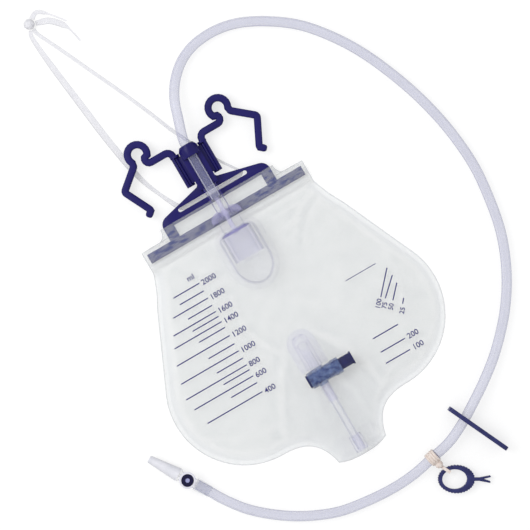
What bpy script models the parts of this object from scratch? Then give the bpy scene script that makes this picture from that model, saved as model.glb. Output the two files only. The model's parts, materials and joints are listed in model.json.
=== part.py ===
"""Urine drainage bag for two litres, empty, laid flat with its inlet tube round it.

Metres, +Z up. The back film lies on z = 0, +Y points to the hanger and +X is the
right-hand side of the bag seen from its front. Fittings lie on one line at x = 0."""

import math

import bmesh
import bpy
from mathutils import Matrix, Vector

# Hanger moulding, measured from the centre of its bar
BAR_Y = 0.0750
BAR_HALF = 0.0800
BAR_DEPTH = 0.0090
PLATE_FLOOR = 0.0032
PLATE = 0.0030
LEG_OUTER = 0.0554
LEG_WIDTH = 0.0100
WINDOW_HEIGHT = 0.0110
BOW_FOOT = BAR_Y + BAR_DEPTH / 2 + WINDOW_HEIGHT
BOW_DEPTH = 0.0147
SHOULDER_RADIUS = 0.0090
SLOT_HALF = 0.0355
SLOT_WIDTH = 0.0038
SLOT_ABOVE_BOW_FOOT = 0.0091
SLOT_Y = BOW_FOOT + SLOT_ABOVE_BOW_FOOT
COLUMN_HALF = 0.0092
COLUMN_FOOT = BOW_FOOT + BOW_DEPTH
COLUMN_LENGTH = 0.0386
COLUMN_TOP = COLUMN_FOOT + COLUMN_LENGTH
HOOD_OVERHANG = 0.0035
HOOD_LENGTH = 0.0113
HOOD_TOP = COLUMN_TOP + HOOD_OVERHANG
HOOD_FOOT = HOOD_TOP - HOOD_LENGTH
HOOD_WALL = 0.0026
HOOD_NECK_HALF = 0.0068

# Film bag
FILM = 0.0004
FILM_GAP = 0.0003
BAG_RISE = 0.0034
HEADER_HALF = 0.0837
HEADER_TOP = BAR_Y + 0.0083
HEADER_FOOT = BAR_Y - 0.0130
TAB_HALF = 0.0585
TAB_HEIGHT = 0.0097
TAB_TOP = HEADER_TOP + TAB_HEIGHT
LOBE_CENTRE_X = 0.0640
LOBE_CENTRE_Y = -0.0670
LOBE_RADIUS = 0.0710
SPOUT_HALF = 0.0246
SPOUT_FOOT = -0.1693
SPOUT_BOW = 0.0021
WELD = 0.0050
WELD_SLOPE = 0.0070
HEADER_WELD = 0.0015
HEADER_SLOPE = 0.0010

# Bed hooks, snapped on two rails of the column; the bends follow from the barrel outwards
HOOK_AXIS_X = 0.0139
HOOK_AXIS_Z = 0.0074
STRAND = 0.0066
STRAND_CHAMFER = 0.0013
RAIL_RADIUS = 0.0020
RAIL_WEB = 0.0012
BARREL_RADIUS = 0.0042
BARREL_GROOVE = 0.0003
BARREL_FOOT = COLUMN_FOOT + 0.0075
BARREL_LENGTH = 0.0313
BARREL_TOP = BARREL_FOOT + BARREL_LENGTH
BARREL_CAP = 0.0020
HOOK_REACH = 0.0012
RUN_RISE = 0.0058
RUN_Y = BARREL_TOP + RUN_RISE
LOOP_X = 0.0420
LOOP_RISE = 0.0123
LOOP_Y = RUN_Y + LOOP_RISE
LOOP_RADIUS = 0.0089
ELBOW_REACH = 0.0253
ELBOW_X = LOOP_X + ELBOW_REACH
ELBOW_DROP = 0.0123
ELBOW_Y = RUN_Y - ELBOW_DROP
TOE_RETURN = 0.0105
TOE_X = ELBOW_X - TOE_RETURN
TOE_DROP = 0.0240
TOE_Y = ELBOW_Y - TOE_DROP
TIP_LENGTH_BELOW_TOE = 0.0036
TIP_Y = TOE_Y - TIP_LENGTH_BELOW_TOE

# Inlet tube and its fittings
CLEARANCE = 0.0003
TUBE_DIAMETER = 0.0092
TUBE_AXIS_Z = 0.0138
TUBE_IN_SOCKET = 0.0120
SOCKET_DIAMETER = 0.0129
SOCKET_LENGTH = 0.0249
SOCKET_CORE = 0.0108
SADDLE_HALF = 0.0148
SADDLE_FOOT = BAR_Y - 0.0028
SADDLE_HEIGHT = 0.0098
SADDLE_THICK = 0.0040
NECK_HALF_WIDTH = 0.0102
NECK_HALF_HEIGHT = 0.0057
NECK_WALL = 0.0012
NECK_BORE = 0.0046
NECK_INSIDE_CHAMBER = 0.0258
SPIGOT_DIAMETER = 0.0070
SPIGOT_LENGTH = 0.0060
CHAMBER_BELOW_SADDLE = 0.0127
CHAMBER_TOP = SADDLE_FOOT - CHAMBER_BELOW_SADDLE
CHAMBER_LENGTH = 0.0275
CHAMBER_FOOT = CHAMBER_TOP - CHAMBER_LENGTH
CHAMBER_HALF_WIDTH = 0.0144
CHAMBER_HALF_HEIGHT = 0.0080
CHAMBER_WALL = 0.0012
CHAMBER_RIM = 0.0003
VALVE_LENGTH = 0.0330
VALVE_HALF_WIDTH = 0.0076
VALVE_WALL = 0.0004
DOME_HALF = 0.0236
DOME_TOP = CHAMBER_TOP + 0.0040
DOME_LENGTH = 0.0630
DOME_FOOT = DOME_TOP - DOME_LENGTH
DOME_FLANGE = 0.0046
DOME_WALL = 0.0010
DOME_CROWN = 0.0236
INLET_HOLE = 0.0070
INLET_HOLE_Y = DOME_FOOT + 0.0195

# Drain: port, push-pull tap, outlet tube and its tip in the film pocket
DRAIN_AXIS_Z = 0.0128
PORT_HALF = 0.0135
PORT_TOP = -0.0460
PORT_LENGTH = 0.0380
PORT_FOOT = PORT_TOP - PORT_LENGTH
PORT_PLATE = 0.0014
PORT_NOSE = 0.0050
PORT_DIAMETER = 0.0149
PORT_BORE = 0.0090
PORT_HOLE = 0.0040
PORT_HOLE_Y = PORT_TOP - 0.0160
TAP_BELOW_PORT = 0.0084
TAP_Y = PORT_FOOT - TAP_BELOW_PORT
TAP_LEFT = -0.0104
TAP_RIGHT = 0.0210
TAP_DIAMETER = 0.0153
TAP_WAIST = 0.0138
TAP_BORE = 0.0118
TAP_SHOULDER = 0.0010
TAP_SPIGOT = 0.0084
TAP_SPIGOT_LENGTH = 0.0150
TAP_WAY = 0.0036
PLUNGER_DIAMETER = 0.0108
PLUNGER_RIB = 0.0112
PLUNGER_END = 0.0126
PLUNGER_WAIST = 0.0060
PLUNGER_TRAVEL = 0.0110
PLUNGER_HEAD = 0.0015
OUTLET_DIAMETER = 0.0068
OUTLET_BORE = 0.0048
OUTLET_ABOVE_SPOUT = 0.0024
OUTLET_FOOT = SPOUT_FOOT + OUTLET_ABOVE_SPOUT
NIPPLE_DIAMETER = 0.0042
NIPPLE_LENGTH = 0.0140
NIPPLE_BORE = 0.0024
COLLAR_DIAMETER = 0.0092
COLLAR_LENGTH = 0.0165
TIP_DIAMETER = 0.0120
TIP_LENGTH = 0.0150
TIP_WALL = 0.0014
POCKET_HALF = 0.0200
POCKET_LENGTH = 0.0190
POCKET_FOOT = SPOUT_FOOT + FILM_GAP

# Catheter connector with its sample port and cap, at the far end of the tube
CONNECTOR_X = -0.1450
CONNECTOR_Y = -0.1215
CONNECTOR_Z = 0.0064
CONNECTOR_TURN = math.radians(121.6)
SLEEVE_DIAMETER = 0.0120
SLEEVE_LENGTH = 0.0140
SLEEVE_OVERLAP = 0.0013
BARREL_DIAMETER = 0.0092
SAMPLE_PORT_AT = 0.0092
SAMPLE_BOSS = 0.0114
SAMPLE_RING = 0.0150
SAMPLE_RING_WALL = 0.0014
SAMPLE_TOP = 0.0143
SEPTUM = 0.0024
SEPTUM_STEM = 0.0060
SEPTUM_STEM_LENGTH = 0.0018
COLLET_AT = 0.0171
COLLET_DIAMETER = 0.0118
NOZZLE_BASE = 0.0070
NOZZLE_TIP = 0.0048
NOZZLE_LENGTH = 0.0230
NOZZLE_BORE = 0.0028
NOZZLE_BARB = 0.0004
CAP_AT = 0.0188
CAP_LENGTH = 0.0300
CAP_BASE = 0.0126
CAP_END = 0.0070
CAP_WALL = 0.0012

# Slide clamp, sheet clip and rubber band, on the tube
CLAMP_NEAR = (0.0925, -0.1916)
CLAMP_LENGTH = 0.0631
CLAMP_HEIGHT = 0.0180
CLAMP_THICK = 0.0040
CLAMP_HOLE = 0.0104
CLAMP_HOLE_AT = 0.0170
CLAMP_PINCH = 0.0032
CLAMP_SLOT = 0.0360
CLAMP_TURN = math.radians(-65.1)
CLIP_X = 0.0594
CLIP_Y = -0.2350
CLIP_HALF_LENGTH = 0.0165
CLIP_HALF_WIDTH = 0.0126
CLIP_STRAND = 0.0036
CLIP_THICKENING = 0.0032
CLIP_TOOTH = 0.0003
CLIP_TEETH = 36
CLIP_HEIGHT = 0.0050
CLIP_TAIL = 0.0145
CLIP_TURN = math.radians(-30.2)
BAND_NEAR = (0.0511, -0.2070)
BAND_TURNS = 4
BAND_TURN_WIDTH = 0.0023
BAND_THICK = 0.0014
BAND_GROOVE = 0.0004
BAND_STRAND = 0.0009
BAND_LOOP_WIDTH = 0.0028
BAND_KNOT = 0.0038

# Hanging cord, off-white, through the slot of the hanger
CORD_DIAMETER = 0.0027
KNOT_X = -0.0671
KNOT_Y = 0.3127
KNOT_RADIUS = 0.0052
KNOT_FLATNESS = 0.60

# Route of the inlet tube from the hood, by hand, as (x, y, z)
TUBE_ROUTE = (
    (0.0008, 0.1540, 0.0136), (0.0060, 0.1705, 0.0122), (0.0120, 0.1880, 0.0095),
    (0.0216, 0.2030, 0.0068), (0.0360, 0.2155, 0.0052), (0.0540, 0.2224, 0.0048),
    (0.0760, 0.2234, 0.0047), (0.0977, 0.2183, 0.0047), (0.1210, 0.2062, 0.0047),
    (0.1433, 0.1893, 0.0047), (0.1619, 0.1675, 0.0047), (0.1782, 0.1418, 0.0047),
    (0.1920, 0.1116, 0.0047), (0.2036, 0.0781, 0.0047), (0.2115, 0.0430, 0.0047),
    (0.2150, 0.0070, 0.0047), (0.2132, -0.0233, 0.0047), (0.2064, -0.0610, 0.0047),
    (0.1930, -0.0949, 0.0047), (0.1737, -0.1253, 0.0048), (0.1486, -0.1523, 0.0054),
    (0.1260, -0.1702, 0.0074), (0.1050, -0.1840, 0.0088), (0.0880, -0.1943, 0.0092),
    (0.0700, -0.2026, 0.0084), (0.0511, -0.2070, 0.0074), (0.0300, -0.2117, 0.0056),
    (0.0080, -0.2134, 0.0047), (-0.0170, -0.2120, 0.0047), (-0.0459, -0.2073, 0.0047),
    (-0.0720, -0.1968, 0.0047), (-0.0943, -0.1831, 0.0048), (-0.1150, -0.1655, 0.0051),
    (-0.1290, -0.1478, 0.0058),
)
# Route of the hanging cord from its knot, through the slot and back, as (x, y)
CORD_ROUTE = (
    (-0.0711, 0.3004), (-0.0689, 0.2721), (-0.0636, 0.2273), (-0.0591, 0.1903), (-0.0539, 0.1582),
    (-0.0495, 0.1385), (-0.0420, 0.1200), (-0.0345, 0.1050), (-0.0290, 0.1000), (-0.0150, 0.0992),
    (0.0000, 0.0990), (0.0150, 0.0992), (0.0285, 0.1000), (0.0300, 0.1040), (0.0195, 0.1200),
    (0.0085, 0.1410), (-0.0039, 0.1655), (-0.0133, 0.1887), (-0.0266, 0.2194), (-0.0405, 0.2493),
    (-0.0543, 0.2792), (-0.0648, 0.3010),
)
TAIL_LEFT = ((-0.0590, 0.3187), (-0.0545, 0.3187), (-0.0470, 0.3120), (-0.0365, 0.2990))
TAIL_RIGHT = (
    (-0.0585, 0.3100), (-0.0495, 0.3065), (-0.0400, 0.2960), (-0.0365, 0.2860), (-0.0347, 0.2772),
)

NAVY = (0.035, 0.030, 0.180)
CLEAR_FILM = (0.80, 0.83, 0.83)
VIOLET = (0.52, 0.49, 0.80)
CLEAR = (0.72, 0.72, 0.86)
WHITE = (0.82, 0.84, 0.86)
RUBBER = (0.80, 0.70, 0.62)
SLATE_BLUE = (0.09, 0.13, 0.32)
INK = (0.020, 0.018, 0.080)


def finish(name, colour, roughness, alpha=1.0):
    material = bpy.data.materials.new(name)
    material.use_nodes = True
    shader = material.node_tree.nodes["Principled BSDF"]
    shader.inputs["Base Color"].default_value = (*colour, 1.0)
    shader.inputs["Roughness"].default_value = roughness
    shader.inputs["Metallic"].default_value = 0.0
    shader.inputs["Alpha"].default_value = alpha
    return material


def piece(name, bm, material, origin=(0.0, 0.0, 0.0), turn=0.0):
    """Object from a closed mesh made about its own origin, placed and turned about Z."""
    bmesh.ops.recalc_face_normals(bm, faces=bm.faces)
    mesh = bpy.data.meshes.new(name)
    bm.to_mesh(mesh)
    bm.free()
    mesh.materials.append(material)
    mesh.shade_smooth()
    mesh.set_sharp_from_angle(angle=math.radians(35))
    part = bpy.data.objects.new(name, mesh)
    part.location = origin
    part.rotation_euler = (0.0, 0.0, turn)
    bpy.context.collection.objects.link(part)
    return part


def shape(part, tool_mesh, operation):
    """Union or cut a piece with a hidden tool made about the same origin."""
    name = f"{part.name}_{operation.lower()}_{len(part.modifiers)}"
    tool = piece(name, tool_mesh, part.data.materials[0], part.location, part.rotation_euler.z)
    tool.hide_render = True
    tool.display_type = "WIRE"
    modifier = part.modifiers.new(operation.title(), "BOOLEAN")
    modifier.operation = operation
    modifier.object = tool


def ring_between(bm, first, second):
    """Faces between two rings; a ring of one vertex is a pole."""
    count = max(len(first), len(second))
    if count == 1:
        return
    for i in range(count):
        j = (i + 1) % count
        corners = []
        for ring, k in ((first, i), (first, j), (second, j), (second, i)):
            vertex = ring[k % len(ring)]
            if vertex not in corners:
                corners.append(vertex)
        bm.faces.new(corners)


def lofted(rings, closed=False):
    """Closed mesh through rings of points; ends are capped unless the rings close on themselves."""
    bm = bmesh.new()
    rows = [[bm.verts.new(point) for point in ring] for ring in rings]
    for first, second in zip(rows, rows[1:]):
        ring_between(bm, first, second)
    if closed:
        ring_between(bm, rows[-1], rows[0])
    else:
        for row in (rows[0], rows[-1]):
            if len(row) > 2:
                bm.faces.new(row)
    return bm


def circle(radius, count):
    turns = [math.tau * i / count for i in range(count)]
    return [(radius * math.cos(turn), radius * math.sin(turn)) for turn in turns]


def turned(profile, axis, centre=(0.0, 0.0, 0.0), count=24, closed=False):
    """Solid of revolution: profile holds (distance along the axis, radius)."""
    frame = Vector(axis).to_track_quat("Z", "Y").to_matrix()
    rings = []
    for along, radius in profile:
        flat = circle(radius, count) if radius > 0.0 else [(0.0, 0.0)]
        rings.append([Vector(centre) + frame @ Vector((a, b, along)) for a, b in flat])
    return lofted(rings, closed)


def rod(radius, start, end, count=24):
    span = Vector(end) - Vector(start)
    return turned([(0.0, radius), (span.length, radius)], span, start, count)


def prism(outline, low, high):
    """Outline of (x, y) extruded from z = low to z = high."""
    return lofted([[(x, y, low) for x, y in outline], [(x, y, high) for x, y in outline]])


def block(x_range, y_range, z_range):
    left, right = x_range
    foot, head = y_range
    return prism([(left, foot), (right, foot), (right, head), (left, head)], *z_range)


def arc(centre, radius, start, end, count):
    """Points from start to end angle in degrees, both ends included."""
    points = []
    for i in range(count + 1):
        angle = math.radians(start + (end - start) * i / count)
        points.append((centre[0] + radius * math.cos(angle), centre[1] + radius * math.sin(angle)))
    return points


def mirrored(half):
    """Whole outline from its right half, listed from the bottom up."""
    return half + [(-x, y) for x, y in reversed(half) if abs(x) > 1e-9]


def smooth(points, per_span=12):
    """Catmull-Rom curve through 3-D points."""
    knots = [Vector(p) for p in points]
    knots = [2 * knots[0] - knots[1]] + knots + [2 * knots[-1] - knots[-2]]
    curve = []
    for a, b, c, d in zip(knots, knots[1:], knots[2:], knots[3:]):
        for i in range(per_span):
            t = i / per_span
            curve.append(0.5 * (2 * b + (c - a) * t + (2 * a - 5 * b + 4 * c - d) * t ** 2
                                + (3 * b - a - 3 * c + d) * t ** 3))
    curve.append(knots[-2])
    return curve


def spaced(curve, step):
    """The same curve at even steps, its two ends kept."""
    total = sum((b - a).length for a, b in zip(curve, curve[1:]))
    count = max(2, round(total / step))
    marks = [total * i / count for i in range(1, count)]
    points = [curve[0]]
    run = 0.0
    for a, b in zip(curve, curve[1:]):
        length = (b - a).length
        while marks and run + length >= marks[0]:
            points.append(a.lerp(b, (marks.pop(0) - run) / length))
        run += length
    return points + [curve[-1]]


def cord(name, points, radius, material, resolution):
    data = bpy.data.curves.new(name, "CURVE")
    data.dimensions = "3D"
    data.bevel_depth = radius
    data.bevel_resolution = resolution
    data.use_fill_caps = True
    spline = data.splines.new("POLY")
    spline.points.add(len(points) - 1)
    for target, point in zip(spline.points, points):
        target.co = (*point, 1.0)
    data.materials.append(material)
    part = bpy.data.objects.new(name, data)
    bpy.context.collection.objects.link(part)
    return part


def bag_edge():
    """Right-hand edge of the bag from the tab down, as (x, y, weld, slope) with widths taken inwards."""
    header = (HEADER_WELD, HEADER_SLOPE)
    rows = [(TAB_HALF, TAB_TOP, *header), (TAB_HALF, HEADER_TOP + FILM * 2, *header)]
    for y in (HEADER_TOP, BAR_Y + BAR_DEPTH * 0.6, BAR_Y - BAR_DEPTH * 0.58, BAR_Y - BAR_DEPTH * 0.74,
              BAR_Y - BAR_DEPTH, HEADER_FOOT):
        rows.append((HEADER_HALF, y, *header))
    shoulder = arc((LOBE_CENTRE_X, LOBE_CENTRE_Y), LOBE_RADIUS, 27, -90, 13)
    first = shoulder[0]
    for share, bulge in ((0.12, -0.0010), (0.36, 0.0), (0.56, 0.0), (0.80, 0.0)):
        x = HEADER_HALF + (first[0] - HEADER_HALF) * share + bulge
        rows.append((x, HEADER_FOOT + (first[1] - HEADER_FOOT) * share, WELD, WELD_SLOPE))
    rows += [(x, y, WELD, WELD_SLOPE) for x, y in shoulder]
    last = shoulder[-1]
    for across, down in ((0.63, 0.11), (0.39, 0.24), (0.20, 0.40), (0.07, 0.66)):
        x = SPOUT_HALF + (last[0] - SPOUT_HALF) * across
        rows.append((x, last[1] + (SPOUT_FOOT - last[1]) * down, WELD * 0.7, WELD_SLOPE * 0.7))
    rows.append((SPOUT_HALF, SPOUT_FOOT, WELD * 0.6, WELD_SLOPE * 0.3))
    rows.append((SPOUT_HALF - 0.006, SPOUT_FOOT - 0.0024, WELD * 0.2, WELD_SLOPE * 0.1))
    return rows


def header_share(y):
    """0 on the bag, 1 above the foot of the header, where the films wrap the hanger bar."""
    return 1.0 if y > HEADER_FOOT + FILM else 0.0


def weld_share(y):
    """How far the front film stands clear of its welds at the height y: 0 at the cross weld and the foot."""
    if BAR_Y - BAR_DEPTH - 0.0001 < y < BAR_Y - BAR_DEPTH * 0.73:
        return 0.0
    return min(1.0, max(0.0, (y - SPOUT_FOOT) / 0.010))


def film_sheet(rows, height):
    """Film of even thickness from rows of (x, y), its underside given by height(row, column)."""
    bm = bmesh.new()
    levels = []
    for level in (0.0, FILM):
        levels.append([[bm.verts.new((x, y, height(i, j) + level)) for j, (x, y) in enumerate(row)]
                       for i, row in enumerate(rows)])
    low, high = levels
    last = len(rows[0]) - 1
    for i in range(len(rows) - 1):
        for j in range(last):
            bm.faces.new((low[i][j], low[i][j + 1], low[i + 1][j + 1], low[i + 1][j]))
            bm.faces.new((high[i][j], high[i + 1][j], high[i + 1][j + 1], high[i][j + 1]))
        for j in (0, last):
            bm.faces.new((low[i][j], low[i + 1][j], high[i + 1][j], high[i][j]))
    for i in (0, len(rows) - 1):
        for j in range(last):
            bm.faces.new((low[i][j], low[i][j + 1], high[i][j + 1], high[i][j]))
    return bm


def back_film(material):
    edge = bag_edge()
    rows = []
    for i, (x, y, _, _) in enumerate(edge):
        bow = SPOUT_BOW if i == len(edge) - 1 else 0.0
        rows.append([(-x, y), (0.0, y - bow), (x, y)])
    lift = PLATE_FLOOR - FILM_GAP - FILM
    piece("back_film", film_sheet(rows, lambda i, j: lift * header_share(rows[i][0][1])), material)


def front_film(material):
    edge = bag_edge()
    rows, shares = [], []
    for i, (x, y, weld, slope) in enumerate(edge):
        inward = Vector((-1.0, 0.0))
        if y < HEADER_FOOT - FILM and i + 1 < len(edge):
            before = Vector((x - edge[i - 1][0], y - edge[i - 1][1])).normalized()
            after = Vector((edge[i + 1][0] - x, edge[i + 1][1] - y)).normalized()
            along = (before + after).normalized()
            inward = Vector((along.y, -along.x))
        bow = SPOUT_BOW if i == len(edge) - 1 else 0.0
        inner = Vector((x, y)) + inward * (weld + slope)
        half = [(x, y), tuple(Vector((x, y)) + inward * weld), tuple(inner)]
        half += [(inner.x * share, inner.y - bow * (1 - share)) for share in (0.62, 0.28)]
        rows.append([(-a, b) for a, b in half] + [(0.0, inner.y - bow)] + half[::-1])
        stand = weld_share(y)
        full = 1.0 if header_share(y) else 0.86
        half_shares = [0.0, 0.0, full * stand, stand, stand]
        shares.append(half_shares + [stand] + half_shares[::-1])
    lift = PLATE_FLOOR - FILM_GAP - FILM

    def height(i, j):
        base = FILM + FILM_GAP + lift * header_share(edge[i][1])
        wrapped = PLATE + FILM_GAP * 2 - FILM * 0.5
        rise = wrapped if edge[i][1] > BAR_Y - BAR_DEPTH * 0.6 else BAG_RISE
        return base + rise * shares[i][j]

    film = piece("front_film", film_sheet(rows, height), material)
    shape(film, rod(INLET_HOLE, (0.0, INLET_HOLE_Y, 0.0), (0.0, INLET_HOLE_Y, PLATE * 3), 16), "DIFFERENCE")
    shape(film, rod(PORT_HOLE, (0.0, PORT_HOLE_Y, 0.0), (0.0, PORT_HOLE_Y, PLATE * 3), 12), "DIFFERENCE")


def film_top():
    """Highest level of the front film on the bag itself."""
    return FILM + FILM_GAP + BAG_RISE + FILM


def tube_seat():
    """Radius of a groove or bore that the inlet tube lies in."""
    return TUBE_DIAMETER / 2 + CLEARANCE


def hanger_frame(material):
    bar_top = BAR_Y + BAR_DEPTH / 2
    bar_foot = BAR_Y - BAR_DEPTH / 2
    flank_y = COLUMN_FOOT + 0.0046
    shoulder = (LEG_OUTER - SHOULDER_RADIUS, BOW_FOOT + 0.0012)
    half = [(BAR_HALF, bar_foot), (BAR_HALF, bar_top), (LEG_OUTER, bar_top)]
    half += arc(shoulder, SHOULDER_RADIUS, 0, 75, 5)
    half += [(LEG_OUTER * 0.49, flank_y - 0.0040), (COLUMN_HALF + 0.0014, flank_y)]
    half += [(COLUMN_HALF, flank_y + 0.0016), (COLUMN_HALF, COLUMN_TOP)]
    half += [(HOOD_NECK_HALF, HOOD_TOP)]
    top = PLATE_FLOOR + PLATE
    frame = piece("hanger_frame", prism(mirrored(half), PLATE_FLOOR, top), material)

    window = block((-LEG_OUTER + LEG_WIDTH, LEG_OUTER - LEG_WIDTH), (bar_top, BOW_FOOT), (0.0, top * 2))
    shape(frame, window, "DIFFERENCE")
    slot_end = SLOT_HALF - SLOT_WIDTH / 2
    slot = arc((slot_end, SLOT_Y), SLOT_WIDTH / 2, -90, 90, 6)
    slot += arc((-slot_end, SLOT_Y), SLOT_WIDTH / 2, 90, 270, 6)
    shape(frame, prism(slot, 0.0, top * 2), "DIFFERENCE")

    wall_heights = (PLATE_FLOOR + 0.001, TUBE_AXIS_Z - 0.0008)
    shape(frame, block((-COLUMN_HALF, COLUMN_HALF), (COLUMN_FOOT, COLUMN_TOP), wall_heights), "UNION")
    hood_top = TUBE_AXIS_Z + tube_seat() + HOOD_WALL
    crown = [(COLUMN_HALF, PLATE_FLOOR + 0.001), (COLUMN_HALF, TUBE_AXIS_Z + 0.0010)]
    crown += arc((0.0, TUBE_AXIS_Z - 0.0010), hood_top - TUBE_AXIS_Z + 0.0010, 35, 90, 5)
    hood_section = mirrored(crown)
    rings = []
    for y, width, drop in ((HOOD_FOOT, 1.0, 0.0), (COLUMN_TOP - 0.0004, 1.0, 0.0),
                           (HOOD_TOP, HOOD_NECK_HALF / COLUMN_HALF, 0.0009)):
        rings.append([(x * width, y, z - drop * (z - PLATE_FLOOR) / hood_top) for x, z in hood_section])
    shape(frame, lofted(rings), "UNION")
    bore = rod(tube_seat(), (0.0, COLUMN_FOOT - 0.01, TUBE_AXIS_Z), (0.0, HOOD_TOP + 0.01, TUBE_AXIS_Z), 24)
    shape(frame, bore, "DIFFERENCE")

    rail_top = BARREL_TOP - BARREL_CAP - CLEARANCE * 2
    for side in (-1, 1):
        axis_x = side * HOOK_AXIS_X
        web = block(sorted((side * (COLUMN_HALF - 0.001), axis_x)), (BARREL_FOOT + 0.002, rail_top),
                    (HOOK_AXIS_Z - RAIL_WEB / 2, HOOK_AXIS_Z + RAIL_WEB / 2))
        shape(frame, web, "UNION")
        ends = [(axis_x, y, HOOK_AXIS_Z) for y in (BARREL_FOOT + 0.001, rail_top)]
        shape(frame, rod(RAIL_RADIUS, *ends, 16), "UNION")


def hook_line():
    """Centre line of the right hook from its barrel to its tip, as (x, y)."""
    rise_x = HOOK_AXIS_X + HOOK_REACH
    bend = STRAND * 0.8
    points = [(rise_x, BARREL_TOP - BARREL_CAP)]
    points += arc((rise_x + bend, RUN_Y - bend), bend, 180, 90, 4)
    throat = (LOOP_X - STRAND * 1.12, RUN_Y + STRAND * 0.60)
    points += arc((throat[0], throat[1]), STRAND * 0.60, -90, 40, 5)
    points += arc((LOOP_X, LOOP_Y), LOOP_RADIUS, 212, -30, 14)
    points += arc((LOOP_X + STRAND * 1.62, RUN_Y + STRAND * 0.85), STRAND * 0.40, 175, 225, 2)
    points += arc((ELBOW_X - STRAND * 0.30, ELBOW_Y), STRAND * 0.45, 48, -30, 3)
    points += arc((TOE_X + STRAND * 0.55, TOE_Y - STRAND * 0.10), STRAND * 0.55, 150, 190, 2)
    points += [(TOE_X + STRAND * 0.40, TIP_Y)]
    return points


def octagon(reach):
    """Section of the hook strand: flat sides with chamfered corners."""
    flat = reach - STRAND_CHAMFER * reach / (STRAND / 2)
    return [(reach, flat), (flat, reach), (-flat, reach), (-reach, flat),
            (-reach, -flat), (-flat, -reach), (flat, -reach), (reach, -flat)]


def strand(points, side):
    """Strand swept along the centre line in its plane, with a rounded tip."""
    centres = [Vector(p) for p in points]
    steps = [(b - a).normalized() for a, b in zip(centres, centres[1:])]
    rings = []
    for i, centre in enumerate(centres):
        before = steps[max(i - 1, 0)]
        after = steps[min(i, len(steps) - 1)]
        along = (before + after).normalized()
        across = Vector((along.y, -along.x)) / max(0.7, along.dot(after))
        rings.append([(centre.x + across.x * a, centre.y + across.y * a, b) for a, b in octagon(STRAND / 2)])
    for beyond, share in ((0.28, 0.86), (0.44, 0.5)):
        centre = centres[-1] + steps[-1] * STRAND * beyond
        across = Vector((steps[-1].y, -steps[-1].x))
        tip = octagon(STRAND / 2 * share)
        rings.append([(centre.x + across.x * a, centre.y + across.y * a, b) for a, b in tip])
    return lofted([[(side * (x - HOOK_AXIS_X), y, z) for x, y, z in ring] for ring in rings])


def barrel_section():
    """C section that snaps on the rail, as (x, z) about its axis, with its mouth to the column and up."""
    mouth_start, mouth_end = 68.0, 202.0
    wraps = 16
    outer = []
    for i in range(wraps + 1):
        angle = mouth_end + (360.0 + mouth_start - mouth_end) * i / wraps
        groove = BARREL_GROOVE if i % 4 == 2 else 0.0
        radius = BARREL_RADIUS - groove
        outer.append((radius * math.cos(math.radians(angle)), radius * math.sin(math.radians(angle))))
    inner = arc((0.0, 0.0), RAIL_RADIUS + CLEARANCE, 360.0 + mouth_start, mouth_end, 12)
    return outer + inner


def hook(name, side, material):
    origin = (side * HOOK_AXIS_X, 0.0, HOOK_AXIS_Z)
    section = [(side * x, z) for x, z in barrel_section()]
    barrel = lofted([[(x, y, z) for x, z in section] for y in (BARREL_FOOT, BARREL_TOP - BARREL_CAP * 0.5)])
    part = piece(name, barrel, material, origin)
    shape(part, rod(BARREL_RADIUS, (0.0, BARREL_TOP - BARREL_CAP, 0.0), (0.0, BARREL_TOP, 0.0), 20), "UNION")
    shape(part, strand(hook_line(), side), "UNION")


def oval_ring(half_width, half_height, y, count=24):
    return [(half_width * a, y, TUBE_AXIS_Z + half_height * b) for a, b in circle(1.0, count)]


def neck_roof():
    """Top of the hollow inside the neck, just above the drip chamber."""
    return CHAMBER_TOP + NECK_WALL * 2


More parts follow.
